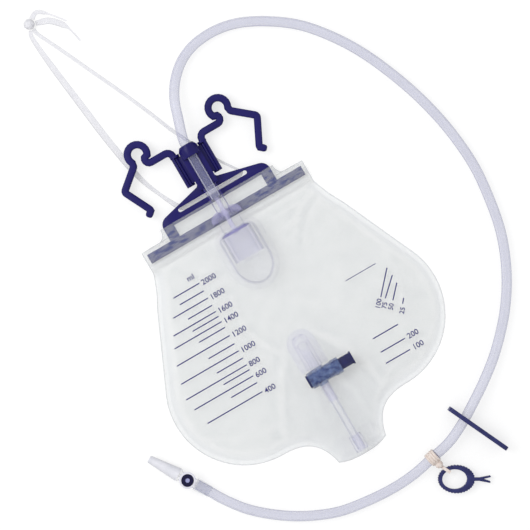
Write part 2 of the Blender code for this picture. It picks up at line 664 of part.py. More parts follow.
def inlet_socket(material):
    """One violet moulding: tube socket, saddle on the hanger bar, oval neck and the spigot inside it."""
    outer, core, spigot = SOCKET_DIAMETER / 2, SOCKET_CORE / 2, SPIGOT_DIAMETER / 2
    mouth = COLUMN_FOOT - CLEARANCE
    foot = mouth - SOCKET_LENGTH
    edge = 0.0005
    roof = neck_roof()
    profile = [(mouth, outer - edge), (mouth - edge, outer), (foot, outer), (foot - edge * 2, core),
               (roof + edge, core), (roof + edge, spigot), (roof - SPIGOT_LENGTH, spigot)]
    part = piece("inlet_socket", turned(profile, (0.0, 1.0, 0.0), (0.0, 0.0, TUBE_AXIS_Z), 24), material)

    seat = TUBE_AXIS_Z - outer + CLEARANCE
    half = [(SADDLE_HALF, SADDLE_FOOT), (SADDLE_HALF, SADDLE_FOOT + SADDLE_HEIGHT * 0.35)]
    for angle in (25, 50, 70, 90):
        turn = math.radians(angle)
        reach = SADDLE_HEIGHT * (0.35 + 0.65 * math.sin(turn))
        half.append((SADDLE_HALF * math.cos(turn), SADDLE_FOOT + reach))
    saddle = prism(mirrored(half), seat, seat + SADDLE_THICK)
    upper_edges = [e for e in saddle.edges if all(v.co.z > seat + SADDLE_THICK / 2 for v in e.verts)]
    bmesh.ops.bevel(saddle, geom=upper_edges, offset=SADDLE_THICK / 5, segments=1, affect="EDGES")
    shape(part, saddle, "UNION")

    wide, tall, wall = NECK_HALF_WIDTH, NECK_HALF_HEIGHT, NECK_WALL
    neck_foot = CHAMBER_TOP - NECK_INSIDE_CHAMBER
    sleeve = [oval_ring(wide, tall, SADDLE_FOOT + wall * 2), oval_ring(wide, tall, neck_foot),
              oval_ring(wide - wall, tall - wall, neck_foot), oval_ring(wide - wall, tall - wall, roof)]
    shape(part, lofted(sleeve), "UNION")
    inside = turned([(roof - SPIGOT_LENGTH * 0.98, spigot), (roof + wall / 2, spigot)], (0.0, 1.0, 0.0),
                    (0.0, 0.0, TUBE_AXIS_Z), 24)
    shape(part, inside, "UNION")

    stop = mouth - TUBE_IN_SOCKET - CLEARANCE
    bore = rod(NECK_BORE / 2, (0.0, roof - SPIGOT_LENGTH * 1.5, TUBE_AXIS_Z), (0.0, mouth, TUBE_AXIS_Z), 16)
    shape(part, bore, "DIFFERENCE")
    socket = rod(tube_seat(), (0.0, stop, TUBE_AXIS_Z), (0.0, mouth + edge * 2, TUBE_AXIS_Z), 24)
    shape(part, socket, "DIFFERENCE")


def drip_chamber(material):
    """Oval cup round the neck, open downwards, with a rounded shoulder and a raised rim."""
    wide, tall, wall, rim = CHAMBER_HALF_WIDTH, CHAMBER_HALF_HEIGHT, CHAMBER_WALL, CHAMBER_RIM
    hole_wide, hole_tall = NECK_HALF_WIDTH + CLEARANCE, NECK_HALF_HEIGHT + CLEARANCE
    shoulder = [(0.84, 0.95, 0.0), (0.95, 0.98, 0.0010), (1.0, 1.0, 0.0022)]
    rings = [oval_ring(hole_wide, hole_tall, CHAMBER_TOP)]
    rings += [oval_ring(wide * a, tall * b, CHAMBER_TOP - drop) for a, b, drop in shoulder]
    for drop, proud in ((0.0024, rim), (0.0040, rim), (0.0043, 0.0)):
        rings.append(oval_ring(wide + proud, tall + proud, CHAMBER_TOP - drop))
    rings += [oval_ring(wide, tall, CHAMBER_FOOT), oval_ring(wide - wall, tall - wall, CHAMBER_FOOT)]
    for a, b, drop in shoulder[::-1]:
        rings.append(oval_ring(wide * a - wall, tall * b - wall, CHAMBER_TOP - drop - wall))
    rings.append(oval_ring(hole_wide, hole_tall, CHAMBER_TOP - wall))
    piece("drip_chamber", lofted(rings, closed=True), material)


def anti_reflux_valve(material):
    """Film sleeve on the spigot that flattens into two lips."""
    top = neck_roof() - CLEARANCE
    bore = SPIGOT_DIAMETER / 2 + CLEARANCE / 2
    lip = FILM * 0.5
    stations = ((0.0, bore, bore), (SPIGOT_LENGTH, bore, bore), (SPIGOT_LENGTH * 2, bore * 1.35, bore * 0.6),
                (VALVE_LENGTH * 0.6, VALVE_HALF_WIDTH, lip * 2), (VALVE_LENGTH, VALVE_HALF_WIDTH, lip))
    rings = []
    for skin, order in ((VALVE_WALL, 1), (0.0, -1)):
        for drop, wide, tall in stations[::order]:
            rings.append(oval_ring(wide + skin, tall + skin, top - drop, 16))
    piece("anti_reflux_valve", lofted(rings, closed=True), material)


def dome_ring(inset, z, count=10):
    """Plan of the dome at one level: straight sides, round foot, squarer top with round corners."""
    wide = DOME_HALF - inset
    top = DOME_TOP - inset * 0.42
    corner = wide * 0.45
    belly = DOME_FOOT + DOME_HALF * 1.15
    points = [(wide, belly)]
    points += arc((wide - corner, top - corner), corner, 0, 90, 4)
    half = []
    for i in range(count + 1):
        turn = -math.pi / 2 * i / count
        half.append((wide * math.cos(turn), belly + (belly - DOME_FOOT - inset) * math.sin(turn)))
    right = points[::-1] + half[1:]
    left = [(-x, y) for x, y in reversed(right) if x > 1e-9]
    return [(x, y, z) for x, y in right + left]


def chamber_dome(material):
    """Clear blister welded to the front film over the drip chamber."""
    foot = film_top() + FILM_GAP
    rise = DOME_CROWN - foot
    rings = [dome_ring(0.0, foot), dome_ring(0.0, foot + DOME_WALL)]
    steps = ((DOME_FLANGE, DOME_WALL / rise), (DOME_FLANGE + 0.0007, 0.55), (DOME_FLANGE + 0.0020, 0.82),
             (DOME_FLANGE + 0.0046, 0.96), (DOME_FLANGE + 0.0090, 1.0))
    rings += [dome_ring(inset, foot + rise * share) for inset, share in steps]
    centre = (0.0, (DOME_TOP + DOME_FOOT) / 2)
    rings.append([(*centre, DOME_CROWN)])
    rings.append([(*centre, DOME_CROWN - DOME_WALL)])
    inner = steps[::-1]
    rings += [dome_ring(inset + DOME_WALL, foot + (rise - DOME_WALL) * share) for inset, share in inner[:-1]]
    rings.append(dome_ring(DOME_FLANGE + DOME_WALL, foot))
    dome = piece("chamber_dome", lofted(rings, closed=True), material)
    hole_wide, hole_tall = NECK_HALF_WIDTH + CLEARANCE, NECK_HALF_HEIGHT + CLEARANCE
    ends = (CHAMBER_TOP - DOME_FLANGE, DOME_TOP + DOME_FLANGE)
    shape(dome, lofted([oval_ring(hole_wide, hole_tall, y, 20) for y in ends]), "DIFFERENCE")


def outlet_port(material):
    """Flange welded to the front film, with the port tube along it and a way down to the bag."""
    foot = film_top() + FILM_GAP
    half = [(PORT_HALF, PORT_FOOT)] + arc((0.0, PORT_TOP - PORT_HALF), PORT_HALF, 0, 90, 8)
    part = piece("outlet_port", prism(mirrored(half), foot, foot + PORT_PLATE), material)
    radius = PORT_DIAMETER / 2
    nose = PORT_TOP - PORT_NOSE
    profile = [(PORT_FOOT, radius), (nose - PORT_NOSE, radius), (nose - PORT_NOSE * 0.3, radius * 0.8),
               (nose, radius * 0.4)]
    shape(part, turned(profile, (0.0, 1.0, 0.0), (0.0, 0.0, DRAIN_AXIS_Z), 20), "UNION")
    saddle_width, inset = radius * 0.7, 0.0006
    saddle = block((-saddle_width, saddle_width), (PORT_FOOT + inset, nose - PORT_NOSE - inset),
                   (foot + inset / 2, DRAIN_AXIS_Z - radius * 0.4))
    shape(part, saddle, "UNION")
    bore_end = PORT_HOLE_Y + PORT_HOLE
    bore = rod(PORT_BORE / 2, (0.0, PORT_FOOT - 0.005, DRAIN_AXIS_Z), (0.0, bore_end, DRAIN_AXIS_Z), 16)
    shape(part, bore, "DIFFERENCE")
    way = rod(PORT_HOLE - inset, (0.0, PORT_HOLE_Y, 0.0), (0.0, PORT_HOLE_Y, DRAIN_AXIS_Z), 12)
    shape(part, way, "DIFFERENCE")


def tap_foot():
    """Lower shoulder of the tap's stem, where the outlet tube starts."""
    return TAP_Y - TAP_DIAMETER / 2 - TAP_SHOULDER


def tap_body(material):
    """Cross body of the push-pull tap, with a spigot up into the port and a nipple down."""
    radius, waist = TAP_DIAMETER / 2, TAP_WAIST / 2
    land = (TAP_RIGHT - TAP_LEFT) * 0.22
    profile = [(TAP_LEFT, radius - 0.0004), (TAP_LEFT + 0.0004, radius), (TAP_LEFT + land, radius),
               (TAP_LEFT + land + 0.001, waist), (TAP_RIGHT - land - 0.001, waist),
               (TAP_RIGHT - land, radius), (TAP_RIGHT - 0.0004, radius), (TAP_RIGHT, radius - 0.0004)]
    part = piece("tap_body", turned(profile, (1.0, 0.0, 0.0), (0.0, TAP_Y, DRAIN_AXIS_Z), 24), material)
    stem_foot = tap_foot()
    neck = PORT_DIAMETER * 0.42
    stem = [(TAP_Y, neck), (PORT_FOOT - CLEARANCE, neck), (PORT_FOOT - CLEARANCE, TAP_SPIGOT / 2),
            (PORT_FOOT + TAP_SPIGOT_LENGTH, TAP_SPIGOT / 2)]
    shape(part, turned(stem, (0.0, 1.0, 0.0), (0.0, 0.0, DRAIN_AXIS_Z), 16), "UNION")
    nipple = [(stem_foot - NIPPLE_LENGTH, NIPPLE_DIAMETER / 2), (stem_foot, NIPPLE_DIAMETER / 2),
              (stem_foot, COLLAR_DIAMETER / 2), (TAP_Y, COLLAR_DIAMETER / 2)]
    shape(part, turned(nipple, (0.0, 1.0, 0.0), (0.0, 0.0, DRAIN_AXIS_Z), 16), "UNION")
    centre, beyond = (0.0, TAP_Y, DRAIN_AXIS_Z), TAP_BORE / 2
    left_end, right_end = TAP_LEFT - beyond, TAP_RIGHT + beyond
    bore = rod(TAP_BORE / 2, (left_end, TAP_Y, DRAIN_AXIS_Z), (right_end, TAP_Y, DRAIN_AXIS_Z), 24)
    shape(part, bore, "DIFFERENCE")
    way_in = rod(TAP_WAY / 2, centre, (0.0, PORT_FOOT + TAP_SPIGOT_LENGTH + beyond, DRAIN_AXIS_Z), 12)
    shape(part, way_in, "DIFFERENCE")
    way_out = rod(NIPPLE_BORE / 2, centre, (0.0, stem_foot - NIPPLE_LENGTH - beyond, DRAIN_AXIS_Z), 12)
    shape(part, way_out, "DIFFERENCE")


def tap_plunger(material):
    """Spool of the tap: its waist comes in line with the port when it is pushed to the left."""
    spool, rib, waist, head = PLUNGER_DIAMETER / 2, PLUNGER_RIB / 2, PLUNGER_WAIST / 2, PLUNGER_END / 2
    left = TAP_LEFT - CLEARANCE
    right = TAP_RIGHT + PLUNGER_TRAVEL + CLEARANCE
    edge, flank = 0.0004, 0.0008
    half_waist = TAP_WAY / 2 + 0.0010
    profile = [(left - PLUNGER_HEAD, head - edge), (left - PLUNGER_HEAD + edge, head), (left, head),
               (left, spool)]

    def ribs(*places):
        for at in places:
            profile.extend([(at - edge * 2.5, spool), (at - edge, rib), (at + edge, rib),
                            (at + edge * 2.5, spool)])

    ribs(-PLUNGER_TRAVEL * 0.55, PLUNGER_TRAVEL * 0.5)
    profile += [(PLUNGER_TRAVEL - half_waist, spool), (PLUNGER_TRAVEL - half_waist + flank, waist),
                (PLUNGER_TRAVEL + half_waist - flank, waist), (PLUNGER_TRAVEL + half_waist, spool)]
    ribs(PLUNGER_TRAVEL * 1.5)
    profile += [(right, spool), (right, head), (right + PLUNGER_HEAD - edge, head),
                (right + PLUNGER_HEAD, head - edge)]
    spool_mesh = turned(profile, (1.0, 0.0, 0.0), (0.0, 0.0, 0.0), 18)
    piece("tap_plunger", spool_mesh, material, (0.0, TAP_Y, DRAIN_AXIS_Z))


def hollow(name, profile, material, count=20):
    """Turned piece along the drain's axis whose profile closes on itself."""
    body = turned(profile, (0.0, 1.0, 0.0), (0.0, 0.0, 0.0), count, closed=True)
    return piece(name, body, material, (0.0, 0.0, DRAIN_AXIS_Z))


def outlet(tube_material, fitting_material):
    """Outlet tube on the tap's nipple, with the collar that grips it and the tip at its foot."""
    start = tap_foot() - CLEARANCE
    foot = OUTLET_FOOT
    outer, inner = OUTLET_DIAMETER / 2, OUTLET_BORE / 2
    hollow("outlet_tube", [(start, inner), (start, outer), (foot, outer), (foot, inner)], tube_material)
    collar, edge = COLLAR_DIAMETER / 2, 0.0006
    grip = outer + CLEARANCE
    end = start - COLLAR_LENGTH
    hollow("outlet_collar", [(start, grip), (start, collar), (end + edge, collar), (end, collar - edge),
                             (end, grip)], fitting_material)
    tip = TIP_DIAMETER / 2
    end = foot - CLEARANCE - TIP_WALL
    mouth = end + TIP_LENGTH
    hollow("outlet_tip", [(mouth, grip), (mouth, tip - edge), (mouth - edge, tip), (end + edge, tip),
                          (end, tip - edge), (end, inner), (end + TIP_WALL, inner), (end + TIP_WALL, grip)],
           fitting_material)


def tip_pocket(material):
    """Strip of film welded at its two sides over the outlet's tip, open at both ends."""
    tip = TIP_DIAMETER / 2
    low = film_top() + FILM_GAP
    rise = tip + CLEARANCE
    under = [(POCKET_HALF, low), (tip * 1.6, low + FILM), (tip * 1.18, low + tip * 0.65)]
    for turn in (0.35, 0.75, 1.15):
        under.append((tip * 1.10 * math.cos(turn), DRAIN_AXIS_Z + rise * math.sin(turn)))
    under.append((0.0, DRAIN_AXIS_Z + rise))
    under += [(-x, z) for x, z in under[-2::-1]]
    over = []
    for x, z in under:
        flat = abs(x) > tip * 1.3
        over.append((x if flat else x * (1 + FILM / tip), z + FILM))
    loop = under + over[::-1]
    ends = (POCKET_FOOT, POCKET_FOOT + POCKET_LENGTH)
    piece("tip_pocket", lofted([[(x, y, z) for x, z in loop] for y in ends]), material)


def connector_point(along, across=0.0, up=0.0):
    """World point from a place along the connector's axis, measured from the end of the tube."""
    turn = CONNECTOR_TURN
    return Vector((CONNECTOR_X + along * math.cos(turn) - across * math.sin(turn),
                   CONNECTOR_Y + along * math.sin(turn) + across * math.cos(turn), CONNECTOR_Z + up))


def connector(clear, violet, dark, white):
    """Sleeve, body with the sample port, septum and its ring, and the cap over the nozzle."""
    along, upward = (1.0, 0.0, 0.0), (0.0, 0.0, 1.0)
    place = (CONNECTOR_X, CONNECTOR_Y, CONNECTOR_Z)
    port = connector_point(SAMPLE_PORT_AT)
    over_port = (port.x, port.y, 0.0)
    edge = 0.0004

    sleeve, grip = SLEEVE_DIAMETER / 2, tube_seat()
    profile = [(-SLEEVE_LENGTH, grip), (-SLEEVE_LENGTH, grip + edge), (-SLEEVE_LENGTH * 0.25, sleeve),
               (SLEEVE_OVERLAP, sleeve), (SLEEVE_OVERLAP, grip)]
    piece("tube_sleeve", turned(profile, along, count=20, closed=True), clear, place, CONNECTOR_TURN)

    barrel, collet, bore = BARREL_DIAMETER / 2, COLLET_DIAMETER / 2, NOZZLE_BORE / 2
    base, tip = NOZZLE_BASE / 2, NOZZLE_TIP / 2
    nose = CAP_AT + NOZZLE_LENGTH
    profile = [(CLEARANCE, bore), (CLEARANCE, barrel), (COLLET_AT, barrel), (COLLET_AT, collet),
               (CAP_AT - CLEARANCE, collet), (CAP_AT - CLEARANCE, base)]
    for i in range(4):
        share = 0.45 + 0.13 * i
        at, radius = CAP_AT + NOZZLE_LENGTH * share, base + (tip - base) * share
        profile += [(at, radius), (at + edge, radius + NOZZLE_BARB)]
    profile += [(nose, tip), (nose, bore)]
    body_mesh = turned(profile, along, count=20, closed=True)
    body = piece("connector_body", body_mesh, violet, place, CONNECTOR_TURN)
    boss_top = SAMPLE_TOP - CONNECTOR_Z - SEPTUM - CLEARANCE
    boss, stem = SAMPLE_BOSS / 2, SEPTUM_STEM / 2

    def port_rod(radius, low, high, count):
        return rod(radius, (SAMPLE_PORT_AT, 0.0, low), (SAMPLE_PORT_AT, 0.0, high), count)

    well = boss_top - SEPTUM_STEM_LENGTH - CLEARANCE * 2
    shape(body, port_rod(boss, 0.0, boss_top, 20), "UNION")
    shape(body, port_rod(stem + CLEARANCE, well, boss_top + SEPTUM, 16), "DIFFERENCE")
    shape(body, port_rod(bore, 0.0, boss_top, 12), "DIFFERENCE")

    seat = CONNECTOR_Z + boss_top + CLEARANCE
    dimple, dimple_radius = SEPTUM * 0.35, 0.0022
    stem_foot = seat - SEPTUM_STEM_LENGTH
    profile = [(stem_foot, 0.0), (stem_foot, stem), (seat, stem), (seat, boss), (SAMPLE_TOP - edge, boss),
               (SAMPLE_TOP, boss - edge), (SAMPLE_TOP, dimple_radius),
               (SAMPLE_TOP - dimple, dimple_radius - edge), (SAMPLE_TOP - dimple, 0.0)]
    piece("sample_septum", turned(profile, upward, count=20), dark, over_port)

    inner, outer = boss + CLEARANCE, SAMPLE_RING / 2
    low = CONNECTOR_Z + barrel + CLEARANCE
    high = SAMPLE_TOP - 0.0006
    profile = [(low, inner), (low, inner + SAMPLE_RING_WALL * 0.6), (low + edge * 1.5, outer),
               (high - edge, outer), (high, outer - edge), (high, inner)]
    piece("sample_ring", turned(profile, upward, count=24, closed=True), clear, over_port)

    cap_base, cap_end, end = CAP_BASE / 2, CAP_END / 2, CAP_LENGTH
    profile = [(0.0, cap_base - CAP_WALL), (0.0, cap_base), (end - edge * 2, cap_end),
               (end, cap_end - edge * 2), (end, 0.0), (end - CAP_WALL, 0.0),
               (end - CAP_WALL, cap_end - CAP_WALL)]
    cap_mesh = turned(profile, along, count=20, closed=True)
    piece("connector_cap", cap_mesh, white, connector_point(CAP_AT), CONNECTOR_TURN)


def tube_line():
    """Points of the inlet tube from its seat in the socket to its end in the sleeve."""
    seat = COLUMN_FOOT - CLEARANCE - TUBE_IN_SOCKET
    start = Vector((0.0, seat, TUBE_AXIS_Z))
    exit_point = Vector((0.0, HOOD_TOP, TUBE_AXIS_Z))
    held = [connector_point(-SLEEVE_LENGTH), connector_point(0.0)]
    curve = smooth([exit_point] + [Vector(p) for p in TUBE_ROUTE] + [held[0]])
    return [start] + spaced(curve, TUBE_DIAMETER * 2) + [held[1]]


def on_tube(line, near):
    """Place on the tube's straight steps closest to near, an (x, y), and the tube's direction there."""
    target = Vector((*near, 0.0))
    best = None
    for a, b in zip(line, line[1:]):
        step = b - a
        share = min(1.0, max(0.0, (target - a).dot(step) / step.dot(step)))
        point = a + step * share
        gap = (Vector((point.x, point.y, 0.0)) - target).length
        if best is None or gap < best[0]:
            best = (gap, point, step.normalized())
    return best[1], best[2]


def slide_clamp(line, material):
    """Plate on edge with a keyhole: the tube runs free in the hole and is pinched in the slot."""
    place, _ = on_tube(line, CLAMP_NEAR)
    low = -place.z + FILM_GAP
    high = low + CLAMP_HEIGHT
    left, right = -CLAMP_HOLE_AT, CLAMP_LENGTH - CLAMP_HOLE_AT
    corner = CLAMP_HEIGHT * 0.16
    outline = []
    quarters = ((right - corner, high - corner, 0), (left + corner, high - corner, 90),
                (left + corner, low + corner, 180), (right - corner, low + corner, 270))
    for cx, cz, start in quarters:
        outline += arc((cx, cz), corner, start, start + 90, 3)
    half = CLAMP_THICK / 2
    plate = lofted([[(x, y, z) for x, z in outline] for y in (-half, half)])
    part = piece("slide_clamp", plate, material, place, CLAMP_TURN)
    hole = CLAMP_HOLE / 2
    slot_end = CLAMP_SLOT
    pinch = CLAMP_PINCH / 2
    key = arc((0.0, 0.0), hole, 32, 328, 16)
    key += [(hole * 1.5, -pinch * 1.7), (slot_end - pinch, -pinch)]
    key += arc((slot_end - pinch, 0.0), pinch, -60, 60, 3)
    key += [(slot_end - pinch, pinch), (hole * 1.5, pinch * 1.7)]
    shape(part, lofted([[(x, y, z) for x, z in key] for y in (-half * 2, half * 2)]), "DIFFERENCE")


def sheet_clip(material):
    """Oval spring clip with toothed outer edge and a forked tail, moulded in one piece."""
    outer = []
    for i, (a, b) in enumerate(circle(1.0, CLIP_TEETH * 2)):
        reach = CLIP_TOOTH * (1 if i % 2 else -1)
        outer.append(((CLIP_HALF_LENGTH + reach) * a, (CLIP_HALF_WIDTH + reach) * b))
    low = BAND_STRAND + CLEARANCE
    high = low + CLIP_HEIGHT
    part = piece("sheet_clip", prism(outer, low, high), material, (CLIP_X, CLIP_Y, 0.0), CLIP_TURN)
    tail_start = CLIP_HALF_LENGTH - CLIP_STRAND * 0.6
    end = CLIP_HALF_LENGTH + CLIP_TAIL
    notch = 0.0003
    stem, prong, split = CLIP_STRAND * 0.42, CLIP_STRAND * 0.92, CLIP_STRAND * 0.50
    fork = [(tail_start, stem), (tail_start + CLIP_TAIL * 0.45, stem), (end - notch * 2, prong),
            (end, prong - notch * 2), (end - notch, split), (end - CLIP_TAIL * 0.46, notch)]
    lower = [(x - notch, -y) for x, y in reversed(fork[:-1])]
    shape(part, prism(fork + lower, low + CLIP_HEIGHT * 0.1, high - CLIP_HEIGHT * 0.1), "UNION")
    thick = CLIP_STRAND + CLIP_THICKENING
    hole_length = (2 * CLIP_HALF_LENGTH - CLIP_STRAND - thick) / 2
    shift = (CLIP_STRAND - thick) / 2
    hole = [(shift + hole_length * a, (CLIP_HALF_WIDTH - CLIP_STRAND) * b) for a, b in circle(1.0, 24)]
    shape(part, prism(hole, low - 0.001, high + 0.001), "DIFFERENCE")


def rubber_band(line, material):
    """Band wound round the tube, knotted, and looped round the top of the clip's ring."""
    place, along = on_tube(line, BAND_NEAR)
    inner = TUBE_DIAMETER / 2 + CLEARANCE * 1.6
    outer = inner + BAND_THICK
    start = -BAND_TURNS * BAND_TURN_WIDTH / 2
    profile = [(start, inner)]
    for i in range(BAND_TURNS):
        left = start + BAND_TURN_WIDTH * i
        for share, depth in ((0.0, BAND_GROOVE * 1.6), (0.22, 0.0), (0.78, 0.0)):
            profile.append((left + BAND_TURN_WIDTH * share, outer - depth))
    profile += [(-start, outer - BAND_GROOVE * 1.6), (-start, inner)]
    part = piece("rubber_band", turned(profile, along, count=20, closed=True), material, place)

    side = Vector((along.y, -along.x, 0.0)).normalized()
    if side.y > 0.0:
        side = -side
    knot = bmesh.new()
    bmesh.ops.create_icosphere(knot, subdivisions=2, radius=BAND_KNOT)
    centre = side * (outer + BAND_KNOT * 0.45)
    for vertex in knot.verts:
        vertex.co = Vector((vertex.co.x, vertex.co.y, vertex.co.z * 0.8)) + centre
    shape(part, knot, "UNION")

    ring_angle = math.radians(128)
    on_ring = Vector(((CLIP_HALF_LENGTH - CLIP_STRAND / 2) * math.cos(ring_angle),
                      (CLIP_HALF_WIDTH - CLIP_STRAND / 2) * math.sin(ring_angle), 0.0))
    ring_top = Vector((CLIP_X, CLIP_Y, 0.0)) + Matrix.Rotation(CLIP_TURN, 3, "Z") @ on_ring
    link_start = centre + side * BAND_KNOT * 0.4
    target = ring_top - place
    target.z = 0.0
    pull = (target - Vector((link_start.x, link_start.y, 0.0))).normalized()
    across = Vector((-pull.y, pull.x, 0.0))
    clip_low = BAND_STRAND + CLEARANCE
    low, high = clip_low - CLEARANCE, clip_low + CLIP_HEIGHT + CLEARANCE
    near = CLIP_STRAND / 2 + CLIP_TOOTH + CLEARANCE * 4
    half_width = BAND_LOOP_WIDTH / 2

    def loop_prism(wall, reach):
        """Box round the ring's strand, grown by wall."""
        points = [(-near - wall, low - wall), (near + wall, low - wall), (near + wall, high + wall),
                  (-near - wall, high + wall)]
        rings = []
        for b in (-reach, reach):
            middle_line = target + across * b - Vector((0.0, 0.0, place.z))
            rings.append([middle_line + pull * a + Vector((0.0, 0.0, z)) for a, z in points])
        return lofted(rings)

    shape(part, loop_prism(BAND_STRAND, half_width), "UNION")
    link_end = target - pull * (near + BAND_STRAND * 0.5)
    middle = clip_low + CLIP_HEIGHT / 2 - place.z
    link_foot = Vector((link_end.x, link_end.y, middle))
    shape(part, rod(half_width * 0.82, link_start, link_foot, 10), "UNION")
    shape(part, loop_prism(0.0, half_width * 2), "DIFFERENCE")


def hanging_cord(material):
    """Cord from its knot through the slot and back, its two tails, and the knot."""
    radius = CORD_DIAMETER / 2
    rest = radius + 0.0001
    centre = Vector((KNOT_X, KNOT_Y, rest))

    def laid(route, returns=False):
        """Smooth line on the ground that starts, and for a loop ends, at the knot's side."""
        points = [Vector((x, y, rest)) for x, y in route]
        reach = KNOT_RADIUS + CLEARANCE
        points.insert(0, centre + (points[0] - centre).normalized() * reach)
        if returns:
            points.append(centre + (points[-1] - centre).normalized() * reach)
        return spaced(smooth(points), CORD_DIAMETER * 2.9)

    cord("hanging_cord", laid(CORD_ROUTE, returns=True), radius, material, 2)
    cord("cord_tail_left", laid(TAIL_LEFT), radius, material, 2)
    cord("cord_tail_right", laid(TAIL_RIGHT), radius, material, 2)
    knot = bmesh.new()
    bmesh.ops.create_icosphere(knot, subdivisions=3, radius=1.0)
    for vertex in knot.verts:
        x, y, z = vertex.co
        lump = 0.95 + 0.05 * math.sin(x * 5.0 + y * 3.0) * math.cos(y * 4.0)
        vertex.co = Vector((x * lump, y * lump, z * KNOT_FLATNESS)) * KNOT_RADIUS
    height = KNOT_RADIUS * KNOT_FLATNESS + 0.0001
    piece("cord_knot", knot, material, (KNOT_X, KNOT_Y, height))


def build():
    for item in list(bpy.data.objects):
        bpy.data.objects.remove(item)
    navy = finish("navy_moulding", NAVY, 0.35)
    film = finish("clear_vinyl_film", CLEAR_FILM, 0.30, 0.6)
    violet = finish("violet_vinyl", VIOLET, 0.30, 0.8)
    clear = finish("clear_vinyl", CLEAR, 0.20, 0.6)
    white = finish("white_polyethylene", WHITE, 0.40)
    rubber = finish("latex_rubber", RUBBER, 0.60)
    slate = finish("blue_polycarbonate", SLATE_BLUE, 0.25)
    dark = finish("dark_rubber", INK, 0.50)
    yarn = finish("polyester_cord", WHITE, 0.80)

    back_film(film)
    front_film(film)
    hanger_frame(navy)
    hook("hook_right", 1, navy)
    hook("hook_left", -1, navy)
    inlet_socket(violet)
    drip_chamber(violet)
    anti_reflux_valve(film)
    chamber_dome(clear)
    outlet_port(violet)
    tap_body(slate)
    tap_plunger(navy)
    outlet(clear, violet)
    tip_pocket(film)
    connector(clear, violet, dark, white)

    line = tube_line()
    cord("inlet_tube", line, TUBE_DIAMETER / 2, clear, 3)
    slide_clamp(line, navy)
    sheet_clip(navy)
    rubber_band(line, rubber)
    hanging_cord(yarn)


build()
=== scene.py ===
"""Looks of an empty two-litre urine drainage bag that lies flat with its inlet tube round it."""

import json
import math

import bpy
import numpy as np
from mathutils import Matrix, Vector, noise

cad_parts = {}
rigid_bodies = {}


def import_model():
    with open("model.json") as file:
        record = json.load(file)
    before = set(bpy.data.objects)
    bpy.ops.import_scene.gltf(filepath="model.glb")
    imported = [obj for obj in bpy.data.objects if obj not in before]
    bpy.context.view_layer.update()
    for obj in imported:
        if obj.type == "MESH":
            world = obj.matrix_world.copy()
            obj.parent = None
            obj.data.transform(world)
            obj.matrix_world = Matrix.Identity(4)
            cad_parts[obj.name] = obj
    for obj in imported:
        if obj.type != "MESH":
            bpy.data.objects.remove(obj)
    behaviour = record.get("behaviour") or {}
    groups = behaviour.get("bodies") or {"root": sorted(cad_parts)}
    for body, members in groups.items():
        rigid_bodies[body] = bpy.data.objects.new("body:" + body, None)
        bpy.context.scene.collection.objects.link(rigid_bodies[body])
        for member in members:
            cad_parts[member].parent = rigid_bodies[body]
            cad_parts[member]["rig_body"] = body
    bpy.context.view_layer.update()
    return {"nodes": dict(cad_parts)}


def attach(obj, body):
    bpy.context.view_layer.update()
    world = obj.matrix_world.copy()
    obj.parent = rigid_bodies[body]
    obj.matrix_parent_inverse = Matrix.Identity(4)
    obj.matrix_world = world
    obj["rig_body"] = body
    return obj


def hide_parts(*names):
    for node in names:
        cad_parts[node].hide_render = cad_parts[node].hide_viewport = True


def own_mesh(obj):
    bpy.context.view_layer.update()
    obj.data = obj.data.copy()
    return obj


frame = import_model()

# Every length below is in millimetres, and MM turns it to the frame's metres.
MM = 0.001

# Camera: straight above, turned so that the bag leans as in the photograph
VIEW_CENTRE = (7.4, 18.4)
VIEW_WIDTH = 477.0
VIEW_TURN = -30.2
CAMERA_HEIGHT, AIM_HEIGHT = 2000.0, 6.0
SENSOR = 36.0

# Outline of the film bag, as in the model: tab, header, side, lobe, neck and spout
FILM = 0.4
TAB_HALF, TAB_TOP, TAB_CURVE, TAB_TURN = 58.5, 93.0, 8.0, 0.47 * math.pi
HEADER_HALF, HEADER_TOP, HEADER_FOOT = 83.7, 83.3, 62.0
SIDE_DENT, DENT_SHARE = 1.0, 0.3125
LOBE_CENTRE, LOBE_RADIUS = (64.0, -67.0), 71.0
LOBE_START, LOBE_SWEEP = 27, 117
NECK_START, NECK_END, NECK_DROP = 40.0, 29.0, 10.0
SPOUT_HALF, SPOUT_FOOT, SPOUT_BOW, SPOUT_ROUND = 24.6, -169.3, 4.5, 2.7

# Welds of the film: how wide each is, and how wide the slope inside it. At the spout's end only
# a share of both is left
WELD, WELD_SLOPE = 5.0, 7.0
HEADER_WELD, HEADER_SLOPE = 1.5, 1.0
SPOUT_WELD, SPOUT_SLOPE = 0.3, 0.5

# Weld across the bag under the hanger's bar: its lower and upper edge, and how it is pressed
CROSS_WELD = (66.0, 68.6)
CROSS_HALF, CROSS_FIRM = 1.6, 0.8
PRESS_REACH, FREE_REACH = 2.0, 2.2

# Mid-heights of the films: at the weld, over the bag and over the header
FRONT_LOW, FRONT_HIGH, HEADER_HIGH = 0.9, 4.3, 6.8
BACK_LOW, BACK_LIFTED = 0.2, 2.7
PRESSED_GAP = 0.7
LIFT_REACH = 4.0

# Hanger's bar and legs inside the header, on which the front film lies
BAR_AT, BAR_HALF, BAR_REACH = 75.0, 80.5, 5.0
LEG_AT, LEG_HALF, LEG_TOP = 50.4, 5.6, 91.5

